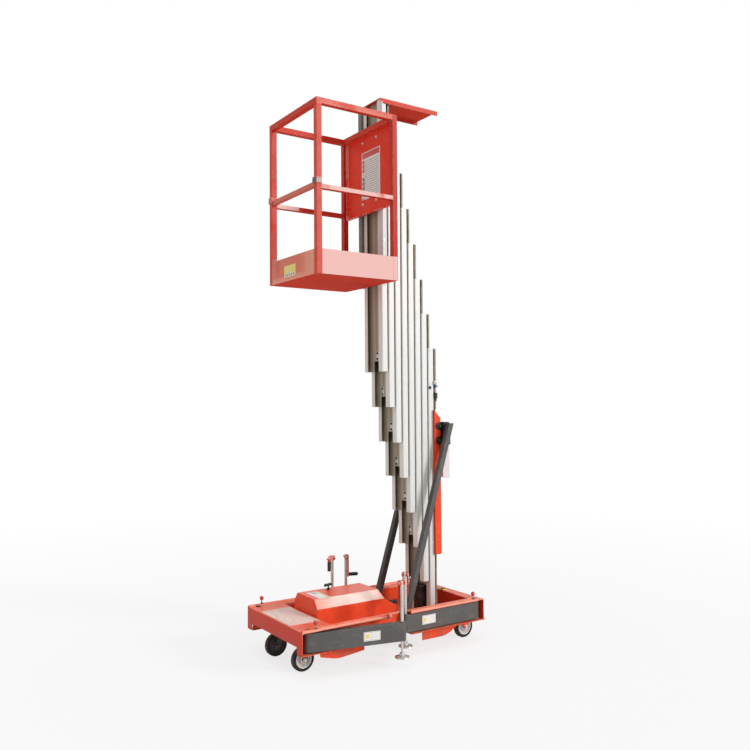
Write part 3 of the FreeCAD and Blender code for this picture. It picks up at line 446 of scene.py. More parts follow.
def pressed(name, centre, inward):
    """Silver-painted wheel disc with a dirty valley between hub and rim, and a near-black painted shade on
    the side turned inward.
    """
    look = Look(name, (0.74, 0.73, 0.71), 0.36, 0.35)
    radius = look.radius(centre)
    valley = look.times(look.band(radius, 0.026, 0.042, 0.005), look.patches(30, 5, 0.2, 0.6))
    look.wash(valley, 0.70, (0.27, 0.24, 0.21))
    look.wash(look.patches(70, 5, 0.55, 0.7), 0.5, (0.42, 0.36, 0.31))
    # Painted shade on the disc's side turned in under the chassis.
    inner_side_shade = look.times(look.step(look.times(look.math("SUBTRACT", look.axis("y"), centre.y), inward),
                                 0.001, 0.004), 0.96)
    look.tint(inner_side_shade, (0.042, 0.037, 0.032))
    look.roughen(look.most(valley, inner_side_shade), 0.66)
    look.raise_by(look.noise(300, 2), 0.0001)
    return look.done()


def by_height(name, tones, roughness):
    """A turned fitting whose finish changes at heights; tones are (height in metres, colour)."""
    look = Look(name, tones[0][1], roughness, 0.0, Coat_Weight=0.3, Coat_Roughness=0.1)
    for height, colour in tones[1:]:
        look.tint(look.along("z", height - 0.0006, height + 0.0006), colour)
    look.wash(look.patches(60, 5, 0.55, 0.7), 0.25, (0.5, 0.38, 0.33))
    look.roughen(look.patches(45, 4, 0.5, 0.7), roughness + 0.2)
    look.raise_by(look.noise(350, 2), 0.0001)
    return look.done()


def plastic(name, colour, roughness):
    """Moulded plastic or rubber with a fine grain and handling marks."""
    look = Look(name, colour, roughness)
    look.wash(look.patches(50, 5, 0.5, 0.7), 0.3, tuple(min(1, c * 1.6 + 0.03) for c in colour))
    look.wash(look.edges(0.001), 0.5, tuple(min(1, c * 2 + 0.06) for c in colour))
    look.roughen(look.patches(30, 4, 0.45, 0.7), min(1, roughness + 0.2))
    look.raise_by(look.noise(420, 2), 0.0001)
    return look.done()


def printed(name, colour, roughness=0.4):
    """Printed film: faint yellowing and rubbed specks."""
    look = Look(name, colour, roughness, 0.0, Coat_Weight=0.3, Coat_Roughness=0.25)
    look.wash(look.patches(14, 5, 0.42, 0.7), 0.30, tuple(c * 0.80 for c in colour))
    look.wash(look.patches(150, 4, 0.62, 0.72), 0.5, tuple(c * 0.62 for c in colour))
    look.raise_by(look.noise(200, 2), 0.00003)
    return look.done()


def worn_tread():
    """Tread plate: paint scuffed pale, with the red showing in blotches."""
    look = Look("tread_plate", (0.80, 0.62, 0.56), 0.5, 0.1)
    look.wash(look.patches(34, 7, 0.50, 0.64, rough=0.75), 0.55, (0.78, 0.25, 0.17))
    look.wash(look.patches(120, 5, 0.5, 0.66), 0.5, (0.86, 0.80, 0.77))
    look.wash(look.patches(9, 5, 0.5, 0.7), 0.3, (0.55, 0.33, 0.27))
    look.roughen(look.noise(40, 4), 0.75)
    look.raise_by(look.noise(260, 4), 0.0003)
    return look.done()


def centre_of(node):
    """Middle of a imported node's box."""
    low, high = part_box(node)
    return (low + high) / 2


ORANGE_PAINT = paint("orange_paint", *ORANGE, low_dirt=0.5, dust_and_painted_light=0.42, gloss=0.12).done()
CRANK_PAINT = paint("crank_paint", (0.80, 0.062, 0.024), (0.9, 0.4, 0.3), (0.55, 0.03, 0.014)).done()
ARM_PAINT = dark_paint("arm_paint", *ARM_GREY).done()
BLACK = dark_paint("black_steel", (0.016, 0.015, 0.014), (0.055, 0.05, 0.046), 0.3).done()
IRON = dark_paint("dark_iron", (0.05, 0.046, 0.042), (0.12, 0.10, 0.085)).done()
# Painted light: the near angles pale, the far ones left dark grey.
ANGLE = painted_light_by_side("mount_steel", (0.17, 0.165, 0.15), (0.30, 0.29, 0.265), 0.01, -0.01, 0.9,
                  (0.78, 0.77, 0.75))
# Painted shade: the far brace darker than the near one.
BRACE = painted_light_by_side("brace_paint", *ARM_GREY, -0.01, 0.01, 0.7, (0.026, 0.022, 0.019))
CHROME = metal("chrome", (0.66, 0.65, 0.625), 0.27, (0.34, 0.32, 0.28))
ZINC = metal("zinc", (0.66, 0.64, 0.60), 0.32, (0.40, 0.37, 0.33), 0.00004)
TREAD = worn_tread()
LINER = guide_strip()
GRIP = plastic("grip_rubber", (0.018, 0.017, 0.017), 0.62)
BLACK_PLASTIC = plastic("black_plastic", (0.016, 0.016, 0.017), 0.38)
RED_PLASTIC = plastic("red_plastic", (0.55, 0.030, 0.018), 0.30)
DARK_BALL = plastic("dark_ball", (0.30, 0.022, 0.016), 0.30)
# Pale pink laid as a painted highlight on the drop bar's collar.
PINK_HIGHLIGHT = plastic("painted_highlight_pink", (0.44, 0.26, 0.24), 0.45)
BLUE_PLASTIC = plastic("blue_plastic", (0.05, 0.16, 0.42), 0.35)
YELLOW_PLASTIC = plastic("yellow_plastic", (0.80, 0.62, 0.10), 0.35)
WHITE_FILM = printed("white_film", (0.84, 0.82, 0.79))
YELLOW_FILM = printed("yellow_film", (0.82, 0.66, 0.13))
RED_FILM = printed("red_film", (0.60, 0.055, 0.040))
GREY_FILM = printed("grey_film", (0.42, 0.38, 0.36))
DARK_FILM = printed("dark_film", (0.12, 0.10, 0.09))
PALE_SHEET = printed("pale_sheet", (0.78, 0.70, 0.69), 0.5)
KNOB = by_height("lock_pin", (
    (0.0, (0.018, 0.017, 0.016)), (0.3095, (0.30, 0.29, 0.27)), (0.3235, (0.50, 0.030, 0.017))), 0.30)


# Wheels' centres behind the front plate and to the left, and their height.
WHEELS = {"front_right": (110, -180), "front_left": (110, 180),
          "rear_right": (1381, -200), "rear_left": (1381, 200)}
AXLE = 75


def soften(obj, width, angle):
    """Rounds a mesh's sharp edges."""
    bevel = obj.modifiers.new("soft_edges", "BEVEL")
    bevel.width = width
    bevel.segments = 2
    bevel.limit_method = "ANGLE"
    bevel.angle_limit = math.radians(angle)
    bevel.use_clamp_overlap = True


def finish(node, look, width):
    """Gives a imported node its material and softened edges."""
    obj = NODES[node]
    obj.data.materials.clear()
    obj.data.materials.append(look)
    weld = obj.modifiers.new("weld", "WELD")
    weld.merge_threshold = 0.00001
    if width:
        soften(obj, width, 30)
    normals = obj.modifiers.new("normals", "WEIGHTED_NORMAL")
    normals.keep_sharp = True


# The side channels take a heavier top film: dust with a painted highlight on their flanges' tops.
CHANNEL_PAINT = paint("channel_paint", *ORANGE, low_dirt=0.5, dust_and_painted_light=0.70, gloss=0.12).done()
CAP_PAINT = paint("cap_paint", *RED, gloss=0.07).done()
BAR_PAINT = paint("bar_paint", (0.70, 0.17, 0.12), (0.88, 0.52, 0.43), (0.5, 0.06, 0.04), gloss=0.1).done()
for word in ("front_deck", "chassis_frame", "skid_plates", "rear_wheel_brackets", "mast_spine"):
    finish(word, ORANGE_PAINT, 0.0011)
for word in ("caster_fork_right", "caster_fork_left"):
    finish(word, IRON, 0.0011)
for word, look, width in (
        ("side_channels", CHANNEL_PAINT, 0.0011), ("power_pack_cover", cover_paint(), 0.0010),
        ("cage_frame", tube_paint(), 0.0022), ("cage_floor", board_paint(), 0.0009),
        ("cage_back_panel", panel_paint(), 0.0009), ("mast_cap", CAP_PAINT, 0.0010),
        ("drop_bar", BAR_PAINT, 0.0012), ("cage_mounts", ANGLE, 0.0012), ("brace_bracket", BLACK, 0.0015),
        ("mast_braces", BRACE, 0.0025), ("lift_cylinder", BLACK, 0.003), ("pump_unit", IRON, 0.004),
        ("step_tread", TREAD, 0.0008), ("pivot_pins", BLACK, 0.0008), ("lock_pins", KNOB, 0)):
    finish(word, look, width)
for number in range(1, 9):
    finish(f"mast_section_{number}", extrusion(number), 0.0005)
for place in WHEELS:
    finish(f"outrigger_arm_{place}", ARM_PAINT, 0.0018)
    finish(f"jack_screw_{place}", CHROME, 0.0006)
    finish(f"jack_crank_{place}", CRANK_PAINT, 0.0010)
    middle = centre_of(f"tyre_{place}")
    finish(f"tyre_{place}", rubber(f"tyre_rubber_{place}", middle), 0.0012)
    finish(f"hub_{place}", pressed(f"hub_paint_{place}", middle, -1 if middle.y > 0 else 1), 0.0008)


def basis(axis):
    """Two directions at right angles to an axis and each other."""
    axis = axis.normalized()
    first = axis.cross(Z if abs(axis.z) < 0.9 else X).normalized()
    return first, axis.cross(first)


def coat(faces, look):
    """Gives faces one of their piece's materials, by its number."""
    for face in faces:
        face.material_index = look


def lathe(bm, spot, axis, profile, steps=32, look=0):
    """Turned shape from (radius, height) pairs in metres, heights along the axis from the spot."""
    first, second = basis(axis)
    axis = axis.normalized()
    turns = [2 * math.pi * k / steps for k in range(steps)]
    rings = []
    for radius, height in profile:
        centre = spot + axis * height
        if radius > 0:
            rim = [centre + radius * (math.cos(t) * first + math.sin(t) * second) for t in turns]
            rings.append([bm.verts.new(p) for p in rim])
        else:
            rings.append([bm.verts.new(centre)])
    faces = []
    for low, high in zip(rings, rings[1:]):
        for k in range(steps):
            n = (k + 1) % steps
            if len(low) > 1 and len(high) > 1:
                faces.append(bm.faces.new((low[k], low[n], high[n], high[k])))
            elif len(high) > 1:
                faces.append(bm.faces.new((low[0], high[n], high[k])))
            elif len(low) > 1:
                faces.append(bm.faces.new((low[k], low[n], high[0])))
    for ring in (rings[0], rings[-1]):
        if len(ring) > 1:
            faces.append(bm.faces.new(ring))
    coat(faces, look)


def hexed(bm, spot, axis, across, height, stub=0.0):
    """Bolt head or nut on a washer, with an optional thread end."""
    reach = across / math.sqrt(3)
    washer = ((1.22, 0), (1.25, 0.0004), (1.25, 0.0012), (1.2, 0.0016))
    head = ((0.96, 0), (1, 0.10), (1, 0.80), (0.86, 1))
    lathe(bm, spot, axis, [(reach * r, h) for r, h in washer], 24)
    lathe(bm, spot + axis.normalized() * 0.0016, axis, [(reach * r, height * h) for r, h in head], 6)
    if stub:
        lathe(bm, spot, axis, [(across * 0.28, height), (across * 0.28, height + stub - 0.0008),
                               (across * 0.22, height + stub)], 16)


def block(bm, low, high, look=0):
    """Box between two corners."""
    made = bmesh.ops.create_cube(bm, size=1.0)["verts"]
    for vert in made:
        vert.co = Vector((low[k] + (vert.co[k] + 0.5) * (high[k] - low[k]) for k in range(3)))
    coat({f for v in made for f in v.link_faces}, look)


def shell(bm, low, high, look, floor=True):
    """Sides and top between two rings of points with the same count, and a floor unless it is hidden."""
    low = [bm.verts.new(p) for p in low]
    high = [bm.verts.new(p) for p in high]
    faces = [bm.faces.new(high)]
    if floor:
        faces.append(bm.faces.new(low[::-1]))
    for k in range(len(low)):
        n = (k + 1) % len(low)
        faces.append(bm.faces.new((low[k], low[n], high[n], high[k])))
    coat(faces, look)


def patch(bm, middle, wide, tall, width, height, thick, corner=0.002, look=0):
    """Thin plate with rounded corners; wide and tall are its directions, and it stands along their cross."""
    wide, tall = wide.normalized(), tall.normalized()
    out = wide.cross(tall) * thick
    points = []
    for sx, sy, start in ((1, 1, 0), (-1, 1, 90), (-1, -1, 180), (1, -1, 270)):
        for k in range(4):
            t = math.radians(start + 30 * k)
            points.append(middle + wide * (sx * (width / 2 - corner) + corner * math.cos(t))
                          + tall * (sy * (height / 2 - corner) + corner * math.sin(t)))
    shell(bm, points, [p + out for p in points], look)


def plate(bm, u, y, z, width, height, thick, corner=0.002, look=0):
    """A patch that faces the front of the machine; its place is in millimetres."""
    patch(bm, at(u, y, z), -Y, Z, width, height, thick, corner, look)


def upright(bm, outline, low, high):
    """Upright bar with a plan outline of (u, y) points, between two heights, all in millimetres."""
    shell(bm, [at(u, y, low) for u, y in outline], [at(u, y, high) for u, y in outline], 0)


def piece(name, bm, body, looks, bevel=0.0, smooth=35):
    """Turns the mesh into a piece of the object that rides on a body."""
    bmesh.ops.recalc_face_normals(bm, faces=bm.faces)
    mesh = bpy.data.meshes.new(name)
    bm.to_mesh(mesh)
    bm.free()
    for look in looks:
        mesh.materials.append(look)
    mesh.shade_smooth()
    mesh.set_sharp_from_angle(angle=math.radians(smooth))
    obj = bpy.data.objects.new(name, mesh)
    SCENE.collection.objects.link(obj)
    if bevel:
        soften(obj, bevel, smooth)
    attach(obj, body)


def weld_bead(bm, start, end, radius=0.0028):
    """A rippled fillet of weld between two points."""
    way = end - start
    count = max(2, round(way.length / 0.0034))
    for k in range(count):
        spot = start + way * ((k + 0.5) / count)
        swell = radius * (1 + 0.12 * math.sin(k * 2.3) + 0.07 * math.sin(k * 5.1))
        ripple = ((0, 0), (0.72, 0.35), (1, 0.9), (0.72, 1.35), (0, 1.6))
        lathe(bm, spot - way.normalized() * swell * 0.8, way, [(swell * r, swell * h) for r, h in ripple], 8)


# Tread plate: raised lozenges set crosswise, each row half a pitch along from the last.
LOZENGE = (
    (0.0085, 0), (0.0045, 0.0022), (-0.0045, 0.0022), (-0.0085, 0), (-0.0045, -0.0022), (0.0045, -0.0022))
TREAD_PITCH = 0.022
TREAD_RIM = 0.010
bm = bmesh.new()
low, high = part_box("step_tread")
across = 0
row = 0
y = low.y + TREAD_PITCH / 2
while y < high.y - TREAD_RIM:
    x = low.x + TREAD_PITCH / (2 if row % 2 else 1)
    while x < high.x - TREAD_RIM:
        turn = math.radians(45 if (across + row) % 2 else -45)
        wide = Vector((math.cos(turn), math.sin(turn), 0))
        tall = Vector((-math.sin(turn), math.cos(turn), 0))
        middle = Vector((x, y, high.z))
        rim = [middle + wide * a + tall * b for a, b in LOZENGE]
        shell(bm, rim, [middle + (p - middle) * 0.62 + Z * 0.0014 for p in rim], 0, floor=False)
        x += TREAD_PITCH
        across += 1
    y += TREAD_PITCH / 2
    row += 1
piece("tread_lozenges", bm, "base", [TREAD])

bm = bmesh.new()
for sign in (-1, 1):
    for u in (26, 204):
        for y in (60, 184):
            lathe(bm, at(u, sign * y, 297), Z, [
                (0.0062, 0), (0.0058, 0.0012), (0.0035, 0.0022), (0.0012, 0.0023), (0, 0.0016)], 20)
piece("tread_screws", bm, "base", [ZINC])

# Open ends of the tube rails: a black disc in each mouth as painted shade of the tube's inside, within a
# bright rim.
RAIL_Y = 366
RAIL_Z = 294
for tag, u, way in (("front", 649, 1), ("rear", 803, -1)):
    bm = bmesh.new()
    for sign in (-1, 1):
        mouth = at(u, sign * RAIL_Y, RAIL_Z)
        lathe(bm, mouth, X * way, [(0.0088, 0), (0.0088, 0.0006), (0, 0.0006)], 24)
        lathe(bm, mouth, X * way, [
            (0.0088, 0.0004), (0.0107, 0.0008), (0.0107, 0.0016), (0.0092, 0.0022), (0.0086, 0.0010)], 28, 1)
    piece(f"rail_ends_{tag}", bm, "base", [BLACK, ORANGE_PAINT])

# Welds beside the brace feet and along the front and rear cross plates.
bm = bmesh.new()
for sign in (-1, 1):
    for dy in (-20.5, 20.5):
        weld_bead(bm, at(858, sign * 181 + dy, 161.5), at(902, sign * 181 + dy, 161.5))
    weld_bead(bm, at(235, sign * 302, 291), at(235, sign * 150, 291), 0.0025)
    weld_bead(bm, at(1341, sign * 300, 291.5), at(1341, sign * 160, 291.5), 0.0025)
piece("chassis_welds", bm, "base", [ORANGE_PAINT])

# Small round level on the rear flange.
bm = bmesh.new()
block(bm, at(1350, -16, 294), at(1386, 20, 300))
lathe(bm, at(1368, 2, 300), Z, [
    (0.0145, 0), (0.0150, 0.0008), (0.0150, 0.004), (0.0128, 0.0055), (0.0110, 0.0048)], 32, 1)
lathe(bm, at(1368, 2, 300), Z, [(0.0112, 0.0034), (0.0085, 0.0048), (0.004, 0.0056), (0, 0.0058)])
lathe(bm, at(1368, 2, 305.2), Z, [(0.0040, 0), (0.0040, 0.0004), (0, 0.0007)], 24, 1)
piece("bubble_level", bm, "base", [YELLOW_PLASTIC, BLACK_PLASTIC], bevel=0.0012)

# Fittings of the housing: roof sticker, lever on its boot, cap on the tail.
ROOF = 403.0
bm = bmesh.new()
for u, y, lift, width, height, thick, corner, look in (
        (318, -18, 0, 0.185, 0.080, 0.0004, 0.004, 0), (346, -18, 0.4, 0.175, 0.010, 0.0002, 0.002, 1),
        (318, 40, 0.4, 0.052, 0.036, 0.0002, 0.002, 2), (311, -52, 0.4, 0.080, 0.034, 0.0002, 0.002, 1),
        (311, -52, 0.6, 0.074, 0.028, 0.0002, 0.002, 0)):
    patch(bm, at(u, y, ROOF + lift), Y, -X, width, height, thick, corner, look)
piece("roof_sticker", bm, "base", [WHITE_FILM, YELLOW_FILM, GREY_FILM])

bm = bmesh.new()
lever = at(440, 62, ROOF)
lathe(bm, lever, Z, [(0.017, 0), (0.017, 0.003), (0.0145, 0.0045), (0.0115, 0.006), (0, 0.0062)], 36, 1)
lathe(bm, lever + Z * 0.006, Z, [
    (0.0105, 0), (0.0115, 0.002), (0.0085, 0.004), (0.0095, 0.006), (0.0070, 0.008), (0.0078, 0.010),
    (0.0050, 0.012), (0, 0.013)])
lean = (Z + 0.18 * Y - 0.12 * X).normalized()
lathe(bm, lever + Z * 0.016, lean, [
    (0.0048, 0), (0.0048, 0.010), (0.0095, 0.013), (0.0095, 0.026), (0.006, 0.0285), (0, 0.029)], 24)
side, other = basis(lean)
for k in range(5):
    turn = 2 * math.pi * k / 5 + 0.3
    arm = math.cos(turn) * side + math.sin(turn) * other
    lathe(bm, lever + Z * 0.016 + lean * 0.020, arm, [
        (0.0078, 0), (0.0070, 0.010), (0.0076, 0.016), (0.0090, 0.021), (0.0080, 0.026), (0.004, 0.0285),
        (0, 0.029)], 18)
piece("control_lever", bm, "base", [BLACK_PLASTIC, RED_PLASTIC], smooth=50)

bm = bmesh.new()
down = Vector((98, 0, -60)).normalized()
out = Vector((60, 0, 98)).normalized()
mouth = at(826, -116, 299.6)
patch(bm, mouth, down, Y, 0.040, 0.040, 0.003, 0.005)
patch(bm, mouth + out * 0.003, down, Y, 0.034, 0.034, 0.012, 0.006)
for k in range(-2, 3):
    patch(bm, mouth + out * 0.015 + down * (0.0055 * k), down, Y, 0.0025, 0.026, 0.0010, 0.0008)
piece("filler_cap", bm, "base", [BLACK_PLASTIC], bevel=0.0008)

# Ball knob threaded on the near rail's end, against a painted ring.
bm = bmesh.new()
spot = at(600, -RAIL_Y, RAIL_Z)
lathe(bm, spot, X, [(0.0108, 0), (0.0126, 0.0008), (0.0126, 0.0085), (0.0108, 0.0095)], 28)
lathe(bm, spot + X * 0.0100, X, [
    (0.0108, 0), (0.0120, 0.002), (0.0137, 0.006), (0.0145, 0.0125), (0.0137, 0.019), (0.0120, 0.023),
    (0.0108, 0.025)], 32, 1)
piece("rail_pull_pin", bm, "base", [ORANGE_PAINT, DARK_BALL], smooth=50)


# Arms at rest: pivot behind the front plate and to the left, heading in degrees, reach to the jack.
ARMS = {"front_right": (60, -339, -12.5, 612), "front_left": (60, 339, 5.5, 612),
        "rear_right": (1370, -339, 180, 590), "rear_left": (1370, 339, 174.5, 590)}


def heading(degrees):
    """Level direction, turned from straight back towards the left."""
    turn = math.radians(degrees)
    return Vector((math.cos(turn), math.sin(turn), 0))


def label(name, middle, wide, width, height, body):
    """Blank sticker: pale field inside a dark border, with one plain yellow mark and three grey rules."""
    made = bmesh.new()

    def layer(lift, along, up, *shape):
        patch(made, middle + wide.cross(Z) * lift + wide * along + Z * up, wide, Z, *shape)

    layer(0, 0, 0, width, height, 0.0004, 0.003, 0)
    layer(0.0004, 0, 0, width - 0.008, height - 0.008, 0.0002, 0.002, 1)
    layer(0.0006, 0, 0, width - 0.011, height - 0.011, 0.0002, 0.002, 0)
    layer(0.0008, -width * 0.29, 0, width * 0.20, height * 0.42, 0.0002, 0.003, 2)
    for up in (0.20, 0, -0.20):
        layer(0.0008, width * 0.14, height * up, width * 0.52, height * 0.030, 0.0001, 0.0005, 3)
    piece(name, made, body, [WHITE_FILM, DARK_FILM, YELLOW_FILM, GREY_FILM])


# Stickers on the two near arms.
u, y, way = ARMS["front_right"][:3]
front_sticker = at(u, y, 221) + heading(way) * 0.402 + heading(way - 90) * 0.025
label("front_arm_sticker", front_sticker, heading(way), 0.110, 0.056, "arm_front_right")
label("rear_arm_sticker", at(954, -364, 226), X, 0.110, 0.058, "arm_rear_right")

# Casters and wheels. The nuts sit on the forks' cheeks.
TRAIL = 40
CHEEK = 31.5
PLATE_Z = 178
for place in ("right", "left"):
    u, y = WHEELS[f"front_{place}"]
    bm = bmesh.new()
    lathe(bm, at(u + TRAIL, y, PLATE_Z + 8), Z, [
        (0.030, 0), (0.038, 0.001), (0.0385, 0.004), (0.036, 0.0048), (0.036, 0.0056), (0.038, 0.0064),
        (0.0375, 0.0090), (0.030, 0.0096)], 40)
    lathe(bm, at(u + TRAIL, y, PLATE_Z), -Z, [
        (0.014, 0), (0.014, 0.002), (0.009, 0.003), (0.009, 0.006), (0, 0.0065)], 24)
    for side in (-1, 1):
        hexed(bm, at(u, y + side * CHEEK, AXLE), Y * side, 0.019, 0.008, 0.003)
    for du in (-24, 24):
        for dy in (-26, 26):
            hexed(bm, at(u + TRAIL + du, y + dy, PLATE_Z), -Z, 0.010, 0.005)
    # The far caster's race takes the dark iron finish and the near one zinc: painted shade on the far side.
    piece(f"caster_race_{place}", bm, f"caster_{place}", [IRON if y > 0 else ZINC])
bm = bmesh.new()
for place in ("right", "left"):
    u, y = WHEELS[f"rear_{place}"]
    for side in (-1, 1):
        hexed(bm, at(u, y + side * CHEEK, AXLE), Y * side, 0.019, 0.008, 0.003)
piece("rear_axle_nuts", bm, "base", [ZINC])
for place, (u, y) in WHEELS.items():
    bm = bmesh.new()
    for side in (-1, 1):
        lathe(bm, at(u, y + side * 19, AXLE), Y * side, [
            (0.0085, 0), (0.019, 0.0002), (0.019, 0.0010), (0.016, 0.0022), (0.0085, 0.0024)], 36)
        for k in range(5):
            turn = 2 * math.pi * k / 5 + 0.2
            spot = at(u + 32 * math.cos(turn), y + side * 9.4, AXLE + 32 * math.sin(turn))
            lathe(bm, spot, Y * side, [(0.0042, -0.0022), (0.0042, 0.0008), (0.003, 0.0020), (0, 0.0024)], 14)
    # The far wheels' rivets take the dark iron finish and the near ones zinc: painted shade on the far side.
    piece(f"hub_rivets_{place}", bm, f"wheel_{place}", [IRON if y > 0 else ZINC])

# Screw jacks: height of the foot, the crank's heading and how far it folds up, in degrees. The crank's
# bolt and the screw's top are above the foot, and the grip hangs below the bolt.
BOLT_RISE = 464
SCREW_RISE = 477
GRIP_DROP = -127
JACKS = {
    "front_right": (56, 90, 0), "front_left": (70, 230, -90), "rear_right": (70, 45, 0),
    "rear_left": (70, -20, 0)}
for place, (foot, way, fold) in JACKS.items():
    middle = centre_of(f"jack_screw_{place}")
    axis = Vector((middle.x, middle.y, 0))
    turn = Matrix.Rotation(math.radians(way), 3, "Z") @ Matrix.Rotation(math.radians(fold), 3, "Y")
    bolt = axis + Z * (foot + BOLT_RISE) / 1000
    out = turn @ X

    def local(x, y, z):
        return bolt + turn @ Vector((x, y, z)) / 1000

    ribs = [(0.0108, 0.008), (0.0128, 0.009), (0.0134, 0.012)]
    for k in range(9):
        ribs += [(0.0122, 0.015 + k * 0.0062), (0.0130, 0.0175 + k * 0.0062)]
    ribs += [(0.0126, 0.071), (0.0105, 0.0745), (0, 0.0755)]
    bm = bmesh.new()
    lathe(bm, local(9 if fold else 13, 0, GRIP_DROP), -out if fold else out, ribs)
    piece(f"crank_grip_{place}", bm, f"jack_{place}", [GRIP], smooth=50)
    bm = bmesh.new()
    for side in (-1, 1):
        hexed(bm, local(0, side * 19, 0), turn @ Y * side, 0.013, 0.0030)
    hexed(bm, local(19, 0, GRIP_DROP), out, 0.0125, 0.004)
    top = axis + Z * (foot + SCREW_RISE) / 1000
    lathe(bm, top, Z, [(0.0065, 0), (0.0065, 0.001), (0.004, 0.0014), (0.004, -0.002), (0, -0.002)], 20)
    piece(f"jack_fittings_{place}", bm, f"jack_{place}", [ZINC])

# Collars on the arms' ends round the jack tubes.
for place, (u, y, way, reach) in ARMS.items():
    bm = bmesh.new()
    lathe(bm, at(u, y, 277) + heading(way) * reach / 1000, Z, [
        (0.0116, 0), (0.0185, 0.0002), (0.0185, 0.0035), (0.0165, 0.0050), (0.0128, 0.0052),
        (0.0116, 0.0044)], 36)
    piece(f"arm_collar_{place}", bm, f"arm_{place}", [ARM_PAINT])

# Chain anchors and guide pad screws of the seven moving sections.
for number in range(1, 8):
    face = face_of(number)
    foot = foot_of(number)
    body = f"section_{number}"
    y = -27 if number % 2 else -5.85
    bm = bmesh.new()
    for z in (88.5, 127.5):
        hexed(bm, at(face + 20, y, foot + z), -X, 0.013, 0.0065, 0.002)
    block(bm, at(face + 18.4, y - 14, foot + 77), at(face + 20, y + 14, foot + 139), 1)
    piece(f"chain_anchor_{number}", bm, body, [BLACK, ANGLE], bevel=0.0005)
    bm = bmesh.new()
    for sign in (-1, 1):
        lathe(bm, at(face + 15, sign * 110, foot + LENGTH - 16), Y * sign, [
            (0.0030, -0.0030), (0.0030, 0.0002), (0.0052, 0.0003), (0.0046, 0.0015), (0.0020, 0.0020),
            (0, 0.0014)], 20)
    piece(f"pad_screws_{number}", bm, body, [ZINC])

# Liners on the guides: each runs in the front channel of the next section; section 8's stand in the open.
LINER_START = 560
LINER_SHAPE = ((-7.2, 95.5), (-7.2, 102.2), (-5.2, 104.2), (5.2, 104.2), (7.2, 102.2), (7.2, 95.5))
for number in range(1, 9):
    back = face_of(number) + 68
    foot = foot_of(number)
    low = foot + LINER_START if number < 8 else 1598
    bm = bmesh.new()
    for sign in (-1, 1):
        upright(bm, [(back + u, sign * y) for u, y in LINER_SHAPE], low, foot + LENGTH - 2)
    piece(f"guide_liners_{number}", bm, f"section_{number}" if number < 8 else "base", [LINER])

# Black sheet over section 8's web behind the lift cylinder, as painted shade of the channel's dark inside.
bm = bmesh.new()
plate(bm, 1181.6, 0, 262, 0.196, 0.196, 0.0014, 0.004)
piece("web_shade_sheet", bm, "base", [BLACK])

# Switch, clamp and plugs up section 8's flank, with a tie lower down.
bm = bmesh.new()
for low, high, look in (
        ((1166, -121, 1743), (1181, -110, 1762), 0), ((1207, -124, 1776), (1232, -110, 1800), 1),
        ((1216, -126, 1754), (1232, -110, 1771), 2), ((1215, -125, 1676), (1232, -110, 1716), 0)):
    block(bm, at(*low), at(*high), look)
lathe(bm, at(1219, -124, 1788), -Y, [(0.0060, 0), (0.0060, 0.004), (0.0035, 0.005), (0, 0.005)], 20, 1)
lathe(bm, at(1223, -118, 1676), -Z, [
    (0.0055, 0), (0.0060, 0.004), (0.0045, 0.014), (0.0035, 0.022), (0, 0.022)], 20)
piece("limit_switch", bm, "base", [BLACK_PLASTIC, ZINC, BLUE_PLASTIC], bevel=0.0012)

bm = bmesh.new()
block(bm, at(1160, -112.2, 665), at(1234, -110.2, 671))
block(bm, at(1205, -116, 662), at(1215, -110.2, 674))
piece("cable_tie", bm, "base", [WHITE_FILM], bevel=0.0006)

# Bracket bolts through the ears, and the pale document box behind the bracket.
bm = bmesh.new()
for sign in (-1, 1):
    for z in (1379, 1481):
        hexed(bm, at(1238, sign * 136, z), Y * sign, 0.019, 0.011, 0.004)
piece("bracket_bolts", bm, "base", [BLACK])
bm = bmesh.new()
patch(bm, at(1312, 0, 1232), Y, Z, 0.300, 0.236, 0.0016, 0.004)
for sign in (-1, 1):
    block(bm, at(1254, sign * 150 - 1, 1116), at(1313.6, sign * 150 + 1, 1349.6))
piece("document_box", bm, "base", [PALE_SHEET], bevel=0.0006)

# Bolts of the cage's back panel.
bm = bmesh.new()
for y, z in ((-87, 3470), (84, 3470), (84, 3078), (84, 3036), (-87, 3036)):
    hexed(bm, at(751.6, y, z), -X, 0.014, 0.007)
piece("panel_bolts", bm, "section_1", [ZINC])

# Blank notice board: pale border, coloured header, ruled empty fields.
BOARD_U = 752
BOARD_Y = -14
bm = bmesh.new()
plate(bm, BOARD_U, BOARD_Y, 3234, 0.226, 0.332, 0.0008, 0.004, 0)
plate(bm, BOARD_U - 0.8, BOARD_Y, 3234, 0.220, 0.326, 0.0002, 0.003, 1)
plate(bm, BOARD_U - 1.0, BOARD_Y, 3375, 0.212, 0.038, 0.0002, 0.002, 2)
plate(bm, BOARD_U - 1.0, BOARD_Y, 3211, 0.212, 0.276, 0.0002, 0.002, 0)
for k in range(1, 18):
    plate(bm, BOARD_U - 1.2, BOARD_Y, 3349 - 15.3 * k, 0.202, 0.0062, 0.0001, 0.0004, 3)
for y in (-84, -14, 56):
    plate(bm, BOARD_U - 1.2, y, 3211, 0.0016, 0.262, 0.0001, 0.0004, 3)
for k in (0, 1, 2, 4, 5, 6):
    plate(bm, BOARD_U - 1.2, 78, 3334 - 30.6 * k, 0.027, 0.022, 0.0002, 0.003, 4 if k > 3 else 2)
piece("notice_board", bm, "section_1", [WHITE_FILM, PALE_SHEET, RED_FILM, GREY_FILM, DARK_FILM])

